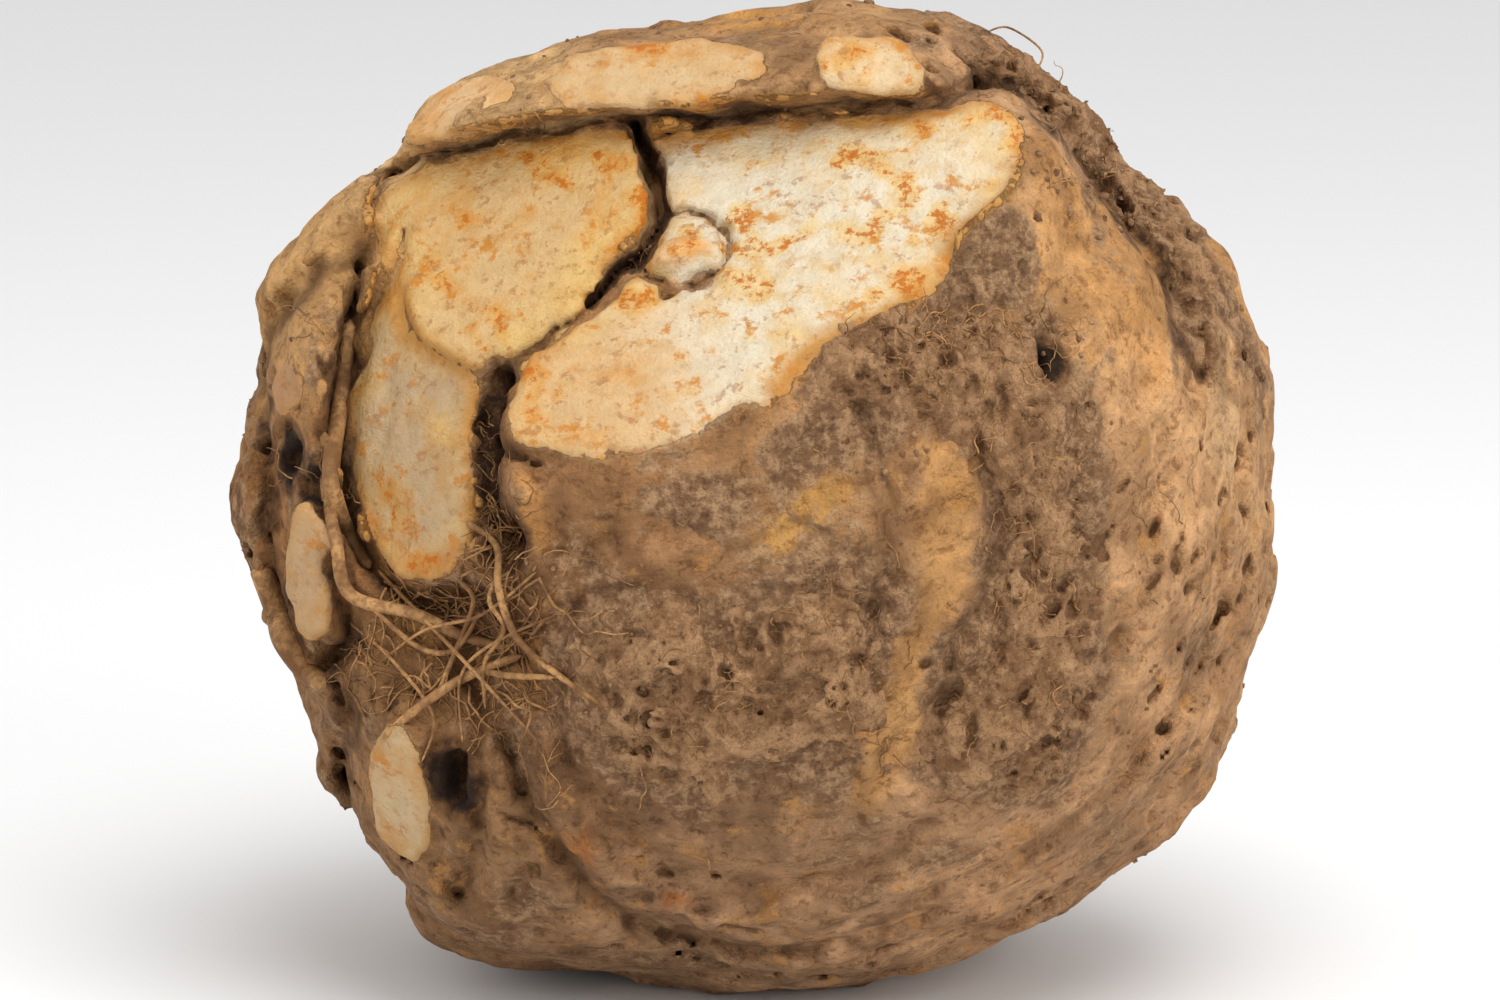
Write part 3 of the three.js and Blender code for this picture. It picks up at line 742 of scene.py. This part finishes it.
def paint_root(obj):
    """Puts the root's tint and its amounts of flesh, earth, dark (painted shade in grooves, pits, crown
    gaps and sunk hollows) and stain on the vertices.
    """
    p = from_row(vertex_places(obj))
    front = front_amount(p)
    r = np.linalg.norm(p, axis=1)
    under = skin_radius(p / r[:, None]) - r
    wander = np.stack([layered_noise(p, 5, 3, 20), layered_noise(p, 5, 3, 30)], axis=1)
    u = p[:, 0] + 2.0 * wander[:, 0]
    v = p[:, 1] + 2.0 * wander[:, 1]
    pale = smoothstep(-0.2, 0.5, layered_noise(ring_space(p, 2), 6, 3, 90))

    hidden = np.full((len(p), 3), 0.0) + linear(HIDDEN_TINTS[0])
    hidden = mix(hidden, linear(HIDDEN_TINTS[1]), smoothstep(-0.3, 0.5, layered_noise(p, 22, 3, 40)))
    hidden = mix(hidden, linear(HIDDEN_TINTS[2]), smoothstep(0.1, 0.6, layered_noise(p, 14, 3, 50)))
    tint = mix(hidden, sample(tint_chart, u, v), front)
    earth = 0.35 + 0.9 * layered_noise(p, 16, 3, 60)
    earth = earth + (sample(earth_chart, u, v) + 0.55 * layered_noise(p, 10, 4, 64) - earth) * front
    # dark: painted shade in the bottoms of the grooves and in the skin's small pits
    dark = np.maximum(0.75 * front * sample(shade_chart, u, v), 0.55 * skin_pits(p))

    flesh = np.zeros(len(p))
    for i, (cut, window) in enumerate(zip(KNIFE_CUTS, cut_windows)):
        height, edge = knife_parts(p, cut, window)
        amount = smoothstep(1.3, 0.6, np.abs(height)) * smoothstep(0.3, -0.5, edge)
        face = np.zeros((len(p), 3)) + linear(FACE_TINTS[i])
        near_rim = smoothstep(-7, -1.5, edge + 3 * wander[:, 0]) * (0.4 + 0.6 * pale)
        face = mix(face, linear(NEAR_RIM_TINT), 0.8 * near_rim)
        face = mix(face, linear(RIM_TINT), smoothstep(-2.2, -0.2, edge + 1.5 * wander[:, 1]))
        if cut is FACE_RIGHT:
            low = smoothstep(0, -14, u) * smoothstep(26, 16, v)
            face = mix(face, linear(LOWER_FACE_TINT), 0.85 * low)
        # the tongue grows darker and browner towards its lower end: painted shade towards the bottom, with
        # browner flesh
        if cut is FACE_TONGUE:
            face = mix(face, linear(TONGUE_TIP_TINT), smoothstep(-3, -8, v))
        tint = mix(tint, face, amount)
        flesh = np.maximum(flesh, amount)
        wall = smoothstep(1.6, 0.6, np.abs(edge)) * smoothstep(-0.3, 0.4, height) * (1 - amount)
        tint = mix(tint, linear(RIM_TINT), 0.9 * wall)
        flesh = np.maximum(flesh, 0.6 * wall)
    for rgb, stump, place in zip(STUMP_TINTS, STUMPS, stump_places):
        height, off = stump_parts(p, stump, place)
        amount = smoothstep(1.3, 0.6, np.abs(height)) * smoothstep(1.06, 0.92, off)
        ring = smoothstep(0.2, 0.05, np.abs(off - 0.6 + 0.1 * wander[:, 0]))
        face = mix(np.zeros((len(p), 3)) + linear(rgb), linear(RIM_TINT), 0.6 * ring * (0.4 + 0.6 * pale))
        face = mix(face, linear(RIM_TINT), 0.8 * smoothstep(0.7, 1.0, off + 0.15 * wander[:, 1]))
        tint = mix(tint, face, amount)
        flesh = np.maximum(flesh, amount)
    height, off, top = crown_top(p)
    amount = smoothstep(2.5, 1.2, np.abs(height - top)) * smoothstep(24, 19, off + 3 * wander[:, 0])
    tint = mix(tint, mix(linear(CROWN_TINT) + np.zeros((len(p), 3)), linear(RIM_TINT), 0.7 * pale), amount)
    flesh = np.maximum(flesh, amount * (0.45 + 0.5 * pale))
    # painted shade in the gaps between the leaf stalk bases
    dark = np.maximum(dark, 1.4 * amount * smoothstep(0.6, -0.8, top))

    # sunk: painted shade on skin lying deep under the plain skin, strongest in the grooves
    hollow = np.clip(front * sample(sink_chart, u, v) / 2, 0.2, 1)
    sunk = 0.9 * smoothstep(2.2, 8, under) * (1 - flesh) * hollow
    # painted shadow in and round the pits
    for (at, half, deep), place in zip(PITS, pit_places):
        away = np.linalg.norm(p - place, axis=1) / (max(half) + 1.5)
        dark = np.maximum(dark, smoothstep(1.4, 0.6, away))
    set_tint(obj, "tint", tint)
    set_amount(obj, "flesh", flesh)
    set_amount(obj, "earth", earth * (1 - flesh))
    set_amount(obj, "dark", np.maximum(dark * (1 - 0.8 * flesh), sunk))
    set_amount(obj, "stain", flesh * front * sample(stain_chart, u, v))


# ---- materials ----
class Nodes:
    """A short way to lay out a material's nodes."""

    def __init__(self, name, roughness, specular=0.3):
        self.material = bpy.data.materials.new(name)
        self.material.use_nodes = True
        self.tree = self.material.node_tree
        self.tree.nodes.clear()
        self.output = self.add("ShaderNodeOutputMaterial")
        self.shader = self.add("ShaderNodeBsdfPrincipled")
        self.shader.inputs["Roughness"].default_value = roughness
        self.shader.inputs["Specular IOR Level"].default_value = specular
        self.join(self.shader.outputs["BSDF"], self.output.inputs["Surface"])
        self.places = self.add("ShaderNodeTexCoord").outputs["Object"]

    def add(self, kind, **settings):
        node = self.tree.nodes.new(kind)
        for key, value in settings.items():
            setattr(node, key, value)
        return node

    def join(self, output, socket):
        self.tree.links.new(output, socket)

    def feed(self, socket, value):
        if isinstance(value, bpy.types.NodeSocket):
            self.join(value, socket)
        else:
            socket.default_value = value

    def amount(self, name):
        return self.add("ShaderNodeAttribute", attribute_name=name).outputs["Fac"]

    def colour(self, name):
        return self.add("ShaderNodeAttribute", attribute_name=name).outputs["Color"]

    def along_rings(self, stretch):
        """Places in which a noise comes out drawn along the rings round the root."""
        node = self.add("ShaderNodeMapping", vector_type="TEXTURE")
        self.join(self.places, node.inputs["Vector"])
        turn = Vector(ROOT_AXIS @ TO_ROW).to_track_quat("Z", "Y")
        node.inputs["Rotation"].default_value = turn.to_euler()
        node.inputs["Scale"].default_value = (stretch, stretch, 1)
        return node.outputs["Vector"]

    def noise(self, size_mm, detail=4.0, roughness=0.6, distortion=0.0, places=None):
        node = self.add("ShaderNodeTexNoise")
        self.join(places or self.places, node.inputs["Vector"])
        node.inputs["Scale"].default_value = 1 / (size_mm * MM)
        node.inputs["Detail"].default_value = detail
        node.inputs["Roughness"].default_value = roughness
        node.inputs["Distortion"].default_value = distortion
        return node.outputs["Fac"]

    def math(self, operation, a, b=0.0, c=0.0, clamp=False):
        node = self.add("ShaderNodeMath", operation=operation, use_clamp=clamp)
        for socket, value in zip(node.inputs, (a, b, c)):
            self.feed(socket, value)
        return node.outputs["Value"]

    def ramp(self, value, low, high, start=0.0, end=1.0):
        node = self.add("ShaderNodeMapRange", interpolation_type="SMOOTHSTEP")
        self.join(value, node.inputs["Value"])
        for key, number in (("From Min", low), ("From Max", high), ("To Min", start), ("To Max", end)):
            node.inputs[key].default_value = number
        return node.outputs["Result"]

    def blend(self, factor, a, b, kind="MIX"):
        node = self.add("ShaderNodeMix", data_type="RGBA", blend_type=kind)
        self.feed(node.inputs["Factor"], factor)
        self.feed(node.inputs["A"], a)
        self.feed(node.inputs["B"], b)
        return [socket for socket in node.outputs if socket.type == "RGBA"][0]

    def scaled(self, colour, by):
        return self.blend(1.0, colour, by, "MULTIPLY")

    def cracks(self, size_mm, width):
        """0 along thin wandering lines and 1 off them."""
        off = self.math("ABSOLUTE", self.math("SUBTRACT", self.noise(size_mm, 5, 0.62, 0.4), 0.5))
        return self.ramp(off, 0.0, width)

    def bump(self, height, distance_mm, strength=1.0):
        node = self.add("ShaderNodeBump")
        node.inputs["Strength"].default_value = strength
        node.inputs["Distance"].default_value = distance_mm * MM
        self.join(height, node.inputs["Height"])
        self.join(node.outputs["Normal"], self.shader.inputs["Normal"])


def rgba(rgb):
    return (*linear(rgb), 1.0)


def root_material():
    n = Nodes("celeriac_root_skin", 0.8, 0.25)
    tint = n.colour("tint")
    flesh = n.amount("flesh")
    broad = n.noise(7, 5)
    fine = n.noise(1.6, 5, 0.65)
    grain = n.noise(0.45, 3, 0.6)

    # skin: broad variation, streaks along the rings, dark flecks, and earth in the hollows of its grain
    streaks = n.noise(1.3, 7, 0.72, places=n.along_rings(2.2))
    dull = n.scaled(tint, (0.7, 0.66, 0.62, 1))
    bright = n.scaled(tint, (1.28, 1.27, 1.24, 1))
    skin = n.blend(n.ramp(broad, 0.35, 0.65), dull, bright)
    skin = n.blend(n.ramp(streaks, 0.48, 0.36, 0, 0.6), skin, n.scaled(skin, (0.5, 0.42, 0.34, 1)))
    skin = n.blend(n.ramp(streaks, 0.53, 0.66, 0, 0.5), skin, n.scaled(skin, (1.4, 1.34, 1.26, 1)))
    skin = n.blend(n.ramp(fine, 0.46, 0.34, 0, 0.8), skin, n.scaled(skin, (0.5, 0.42, 0.34, 1)))
    creases = n.math("MULTIPLY", n.cracks(6, 0.014), n.cracks(3, 0.02))
    gold = n.math("MULTIPLY", n.ramp(n.noise(4, 6, 0.65), 0.54, 0.66), n.ramp(n.amount("earth"), 0.8, 0.3))
    skin = n.blend(n.math("MULTIPLY", gold, 0.6), skin, rgba((212, 152, 84)))
    mud = n.blend(n.ramp(fine, 0.4, 0.62), rgba((130, 94, 64)), rgba((188, 148, 108)))
    mud = n.blend(n.ramp(grain, 0.5, 0.34, 0, 0.4), mud, rgba((84, 58, 38)))
    mud = n.blend(n.ramp(streaks, 0.5, 0.4, 0, 0.5), mud, rgba((84, 56, 36)))
    cover = n.math("ADD", n.amount("earth"), n.math("MULTIPLY_ADD", fine, 1.6, -0.8))
    cover = n.math("ADD", cover, n.math("MULTIPLY_ADD", broad, 1.6, -0.8))
    skin = n.blend(n.ramp(cover, 0.4, 0.75, 0, 0.9), skin, mud)
    # creased: thin dark lines of painted shade, as in creases that the shape doesn't have
    creased = n.math("MULTIPLY", n.math("SUBTRACT", 1.0, creases), n.ramp(n.noise(4, 4), 0.42, 0.6))
    skin = n.blend(n.math("MULTIPLY", creased, 0.35), skin, n.scaled(skin, (0.3, 0.24, 0.18, 1)))

    # flesh: warm clouds, fine flecks and orange stains
    fibres = n.noise(1.5, 6, 0.72, places=n.along_rings(2.2))
    clouds = n.ramp(n.noise(5, 6, 0.65), 0.46, 0.66, 0, 0.8)
    pulp = n.blend(clouds, tint, n.scaled(tint, (0.97, 0.78, 0.5, 1)))
    wisps = n.ramp(n.noise(2.6, 5, 0.7), 0.6, 0.42, 0, 0.4)
    pulp = n.blend(wisps, pulp, n.scaled(pulp, (1.22, 1.26, 1.34, 1)))
    pulp = n.blend(n.ramp(fibres, 0.52, 0.66, 0, 0.6), pulp, n.scaled(pulp, (0.86, 0.62, 0.34, 1)))
    flecks = n.math("MULTIPLY", n.ramp(fine, 0.55, 0.63), n.ramp(n.noise(6, 4), 0.41, 0.54))
    pulp = n.blend(n.math("MULTIPLY", flecks, 0.5), pulp, rgba((148, 88, 30)))
    smudge = n.math("MULTIPLY", n.amount("stain"), n.ramp(broad, 0.3, 0.6, 0.4, 1))
    pulp = n.blend(n.ramp(smudge, 0.0, 0.35, 0, 0.75), pulp, n.scaled(pulp, (1.0, 0.8, 0.42, 1)))
    stray = n.math("MULTIPLY", n.ramp(fibres, 0.56, 0.64), n.ramp(n.noise(7, 3), 0.45, 0.55))
    pulp = n.blend(n.math("MULTIPLY", stray, 0.8), pulp, rgba((192, 122, 30)))
    stain = n.math("ADD", n.amount("stain"), n.math("MULTIPLY_ADD", n.noise(1.1, 5, 0.75), 4.4, -2.6))
    pulp = n.blend(n.ramp(stain, 0.1, 0.6, 0, 0.95), pulp, rgba((182, 100, 8)))

    edge = n.math("ADD", flesh, n.math("MULTIPLY_ADD", fine, 1.4, -0.7))
    cut = n.ramp(edge, 0.38, 0.62)
    colour = n.blend(cut, skin, pulp)
    dark = n.math("ADD", n.amount("dark"), n.math("MULTIPLY_ADD", fine, 0.5, -0.25))
    # brown where dark is high: painted shade in grooves, pits and hollows, with the soil that lies in the
    # grooves
    soil_and_shade = n.blend(n.ramp(fine, 0.4, 0.62), rgba((58, 34, 17)), rgba((124, 84, 48)))
    colour = n.blend(n.ramp(dark, 0.25, 0.7, 0, 0.85), colour, soil_and_shade)
    # near black where dark is highest: painted shadow deep in the pits and crown gaps
    colour = n.blend(n.ramp(n.amount("dark"), 0.8, 1.0, 0, 0.85), colour, rgba((26, 14, 8)))
    n.join(colour, n.shader.inputs["Base Color"])
    n.join(n.ramp(cut, 0, 1, 0.86, 0.5), n.shader.inputs["Roughness"])
    height = n.math("ADD", n.math("MULTIPLY", fine, 0.8), n.math("MULTIPLY", grain, 0.4))
    height = n.math("ADD", height, streaks)
    height = n.math("MULTIPLY", height, n.ramp(cut, 0, 1, 1.0, 0.4))
    n.bump(height, 1.5)
    return n.material


def earth_material():
    n = Nodes("celeriac_earth", 0.95, 0.15)
    broad = n.noise(4, 5)
    fine = n.noise(1.3, 6, 0.7)
    grain = n.noise(0.4, 3)
    colour = n.blend(n.ramp(broad, 0.38, 0.62), rgba((138, 100, 68)), rgba((186, 144, 104)))
    colour = n.blend(n.ramp(fine, 0.48, 0.34, 0, 0.85), colour, n.scaled(colour, (0.45, 0.39, 0.33, 1)))
    colour = n.blend(n.ramp(fine, 0.55, 0.68, 0, 0.6), colour, rgba((206, 166, 122)))
    colour = n.blend(n.ramp(grain, 0.45, 0.33, 0, 0.4), colour, rgba((90, 62, 40)))
    # creased: thin dark lines of painted shade, as in cracks that the shape doesn't have
    creases = n.math("MULTIPLY", n.cracks(5, 0.018), n.cracks(2.6, 0.022))
    creased = n.math("MULTIPLY", n.math("SUBTRACT", 1.0, creases), n.ramp(broad, 0.38, 0.56))
    colour = n.blend(n.math("MULTIPLY", creased, 0.35), colour, n.scaled(colour, (0.3, 0.25, 0.2, 1)))
    n.join(colour, n.shader.inputs["Base Color"])
    n.bump(n.math("MULTIPLY_ADD", grain, 0.3, fine), 1.3)
    return n.material


def rootlet_material():
    n = Nodes("celeriac_rootlet", 0.75, 0.3)
    colour = n.blend(n.ramp(n.noise(6, 3), 0.35, 0.65), rgba((116, 78, 42)), rgba((186, 140, 88)))
    colour = n.blend(n.ramp(n.noise(0.8, 4), 0.4, 0.62, 0, 0.6), colour, rgba((104, 70, 42)))
    n.join(colour, n.shader.inputs["Base Color"])
    n.bump(n.noise(0.5, 3), 0.2)
    return n.material


# ---- pieces ----
def root_piece(material):
    low = -np.full(3, REACH)
    points, quads = mesh_field(root_field, low, np.full(3, REACH), ROOT_VOXEL, 2.6)
    obj = make_object("celeriac_root_skin", to_row(points), outward(to_row(points), quads))
    thin_out(obj, ROOT_FACES)
    paint_root(obj)
    obj.data.materials.append(material)
    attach(obj, "root")
    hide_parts("celeriac_root")
    return obj


def cake_thickness(p, outline_chart, thickness):
    edge = sample(outline_chart, p[:, 0] + 1.5 * noise(p, 4, 71), p[:, 1] + 1.5 * noise(p, 4, 72))
    edge = edge + 2.6 * layered_noise(p, 5, 3, 73)
    body = smoothstep(1.2, -4.5, edge)
    lumps = 0.9 * noise(p, 5, 77) + 1.1 * crumbs(p)
    return np.where(body > 0, (thickness - 0.5) * body + lumps * (0.4 + 0.6 * body) - 0.2, -2)


def cake_piece(node, outline, thickness, behind, material):
    chart = window_map(outline)
    sign = -1 if behind else 1

    def field(p):
        outer = root_field(p)
        outer = np.maximum(outer - cake_thickness(p, chart, thickness), -outer - 0.5)
        return np.maximum(outer, -sign * p[:, 2])

    corners = np.array(outline)
    lowest, highest = corners.min(0) - 5, corners.max(0) + 5
    low = np.array([*lowest, -REACH if behind else 0.0])
    high = np.array([*highest, 0.0 if behind else REACH])
    points, quads = mesh_field(field, low, high, EARTH_VOXEL, 1.6)
    obj = make_object(node + "_crust", to_row(points), outward(to_row(points), quads))
    thin_out(obj, EARTH_FACES)
    obj.data.materials.append(material)
    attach(obj, "root")
    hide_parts(node)
    return obj


def tube(path, radii, sides=7):
    """Vertices and quads of a closed tube along a path, which tapers to its ends."""
    path = np.asarray(path)
    along = np.gradient(path, axis=0)
    along /= np.linalg.norm(along, axis=1)[:, None] + 1e-12
    side = np.cross(along, FRONT)
    side /= np.linalg.norm(side, axis=1)[:, None] + 1e-9
    up = np.cross(side, along)
    turn = np.arange(sides) / sides * 2 * math.pi
    ring = np.cos(turn)[None, :, None] * side[:, None] + np.sin(turn)[None, :, None] * up[:, None]
    verts = path[:, None] + ring * np.asarray(radii)[:, None, None]
    rows = np.arange(len(path) - 1)[:, None] * sides
    k = np.arange(sides)[None]
    nxt = (k + 1) % sides
    quads = np.stack([rows + k, rows + nxt, rows + nxt + sides, rows + k + sides], axis=2).reshape(-1, 4)
    return verts.reshape(-1, 3), quads


def join_parts(name, parts):
    verts = []
    faces = []
    offset = 0
    for points, quads in parts:
        verts.append(points)
        faces.append(quads + offset)
        offset += len(points)
    obj = make_object(name, np.concatenate(verts), np.concatenate(faces))
    obj.data.polygons.foreach_set("use_smooth", np.ones(len(obj.data.polygons), dtype=bool))
    return obj


def surface_tree(*objects):
    verts = []
    faces = []
    for obj in objects:
        offset = len(verts)
        verts.extend(obj.data.vertices[i].co.copy() for i in range(len(obj.data.vertices)))
        faces.extend([k + offset for k in polygon.vertices] for polygon in obj.data.polygons)
    return BVHTree.FromPolygons(verts, faces)


def on_root(tree, u, v, lift):
    """The place in metres in the row frame, lift millimetres off the root's front at (u, v)."""
    start = Vector(to_row(np.array([u, v, 90.0])))
    hit, normal, _, _ = tree.ray_cast(start, Vector(-FRONT))
    if hit is None:
        hit = Vector(to_row(on_skin(u, v)))
        normal = (hit - Vector(to_row(np.zeros(3)))).normalized()
    return np.array(hit + normal * lift * MM)


def rootlet_piece(tree, material):
    parts = []
    for half_width, path in ROOTLETS:
        points = spline([on_root(tree, u, v, lift + 0.3 * half_width) for u, v, lift in path], 7)
        w = np.linspace(0, 1, len(points))
        radii = half_width * MM * (0.35 + 0.65 * np.sin(np.clip(w * 0.9 + 0.1, 0, 1) * math.pi) ** 0.4)
        radii[0] = radii[-1] = 0.02 * MM
        parts.append(tube(points, radii, 9))
    obj = join_parts("celeriac_rootlets", parts)
    obj.data.materials.append(material)
    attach(obj, "root")
    return obj


def on_front(tree, u, v):
    """Whether the root's front is there at (u, v) on the drawing."""
    return tree.ray_cast(Vector(to_row(np.array([u, v, 90.0]))), Vector(-FRONT))[0] is not None


def on_cut(u, v):
    """Whether (u, v) on the drawing is on cut flesh, where no earth or fibres lie."""
    on_face = min(sample(window, np.array([u]), np.array([v]))[0] for window in cut_windows) < -0.5
    return on_face or any(np.hypot(u - at[0], v - at[1]) < max(half) for at, half, *_ in STUMPS)


def fibre_pieces(tree, material):
    rng = np.random.default_rng(5)
    parts = []
    for count, (u, v), (half_u, half_v), lengths, widths in FIBRES:
        for _ in range(count):
            a = u + half_u * rng.uniform(-1, 1)
            b = v + half_v * rng.uniform(-1, 1)
            if on_cut(a, b) or not on_front(tree, a, b):
                continue
            heading = rng.uniform(0, 2 * math.pi)
            length = rng.uniform(*lengths)
            lift = 0.1
            points = []
            for _ in range(FIBRE_STEPS):
                if on_cut(a, b):
                    break
                points.append(on_root(tree, a, b, lift))
                heading += rng.normal(0, 0.45)
                a += math.cos(heading) * length / FIBRE_STEPS
                b += math.sin(heading) * length / FIBRE_STEPS
                lift = max(0.05, lift + rng.normal(0.05, 0.28))
            if len(points) < 4:
                continue
            points = spline(points, 2)
            if np.linalg.norm(np.diff(points, axis=0), axis=1).max() > LONGEST_STEP:
                continue
            radii = rng.uniform(*widths) * MM * np.linspace(1, 0.35, len(points))
            parts.append(tube(points, radii, 4))
    obj = join_parts("celeriac_root_hairs", parts)
    obj.data.materials.append(material)
    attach(obj, "root")


def crumb_shape():
    """The vertices and faces of an icosahedron of radius 1, to be lumped."""
    golden = (1 + math.sqrt(5)) / 2
    corners = [(0, a, b * golden) for a in (-1, 1) for b in (-1, 1)]
    corners = np.array([np.roll(c, k) for k in range(3) for c in corners]) / math.hypot(1, golden)
    side = 1.1  # a little over the length of an edge
    faces = []
    for i, j, k in itertools.combinations(range(12), 3):
        a, b, c = corners[i], corners[j], corners[k]
        if max(np.linalg.norm(a - b), np.linalg.norm(b - c), np.linalg.norm(a - c)) < side:
            faces.append((i, j, k) if np.dot(a, np.cross(b, c)) > 0 else (i, k, j))
    return corners, np.array(faces)


def crumb_pieces(tree, material):
    rng = np.random.default_rng(9)
    ball, faces = crumb_shape()
    middle = Vector(MIDDLE * MM)
    seats = []
    for count, (u, v), (half_u, half_v), radii in CRUMBS:
        for _ in range(count):
            a = u + half_u * rng.uniform(-1, 1)
            b = v + half_v * rng.uniform(-1, 1)
            if on_front(tree, a, b) and not on_cut(a, b):
                seats.append((on_root(tree, a, b, 0), rng.uniform(*radii)))
    wanted = len(seats) + CRUMBS_BEHIND
    while len(seats) < wanted:
        toward = Vector(rng.normal(size=3)).normalized()
        hit = tree.ray_cast(middle + toward * 0.1, -toward)[0]
        if toward.y > -0.2 and hit is not None and hit.z > 3 * MM:
            seats.append((np.array(hit), rng.uniform(0.2, 0.6)))
    parts = []
    for place, radius in seats:
        shape = ball * rng.uniform(0.65, 1.25, size=(12, 1)) * rng.uniform(0.6, 1.1, size=3)
        parts.append((place + shape * radius * MM, faces))
    obj = join_parts("earth_crumbs", parts)
    obj.data.materials.append(material)
    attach(obj, "root")


# ---- the studio ----
def studio():
    bpy.ops.mesh.primitive_plane_add(size=8, location=(0, 0, 0))
    floor = bpy.context.object
    floor.name = "floor"
    n = Nodes("studio_floor", 0.9, 0.1)
    n.shader.inputs["Base Color"].default_value = (0.82, 0.82, 0.82, 1)
    floor.data.materials.append(n.material)

    world = bpy.data.worlds.new("studio")
    world.use_nodes = True
    world.node_tree.nodes["Background"].inputs["Color"].default_value = (1.0, 1.0, 1.0, 1)
    world.node_tree.nodes["Background"].inputs["Strength"].default_value = 0.8
    bpy.context.scene.world = world

    middle = Vector(MIDDLE * MM)
    lamps = [
        ("overhead", (0.15, -0.3, 0.95), 0.7, 5.5),
        ("front_right", (0.75, -0.8, 0.45), 0.7, 5.0),
        ("left_fill", (-0.9, -0.6, 0.2), 0.9, 3.0),
    ]
    for name, place, size, power in lamps:
        light = bpy.data.lights.new(name, "AREA")
        light.size = size
        light.energy = power
        lamp = bpy.data.objects.new(name, light)
        lamp.location = place
        lamp.rotation_euler = (middle - lamp.location).to_track_quat("-Z", "Y").to_euler()
        bpy.context.scene.collection.objects.link(lamp)

    distance = 0.8
    across = 0.182  # the width of the view at the root's middle
    camera = bpy.data.cameras.new("camera")
    camera.sensor_width = 36
    camera.lens = 36 * distance / across
    eye = bpy.data.objects.new("camera", camera)
    eye.location = middle + Vector(FRONT) * distance
    eye.rotation_euler = Matrix(np.stack([RIGHT, UP, FRONT], axis=1)).to_euler()
    bpy.context.scene.collection.objects.link(eye)
    bpy.context.scene.camera = eye
    bpy.context.scene.view_settings.view_transform = "Standard"


root_skin = root_piece(root_material())
earth_look = earth_material()
cakes = [cake_piece(*cake, earth_look) for cake in CAKES]
tree = surface_tree(root_skin)
rootlet_look = rootlet_material()
rootlet_piece(tree, rootlet_look)
fibre_pieces(surface_tree(root_skin, *cakes), rootlet_look)
crumb_pieces(tree, earth_look)
studio()
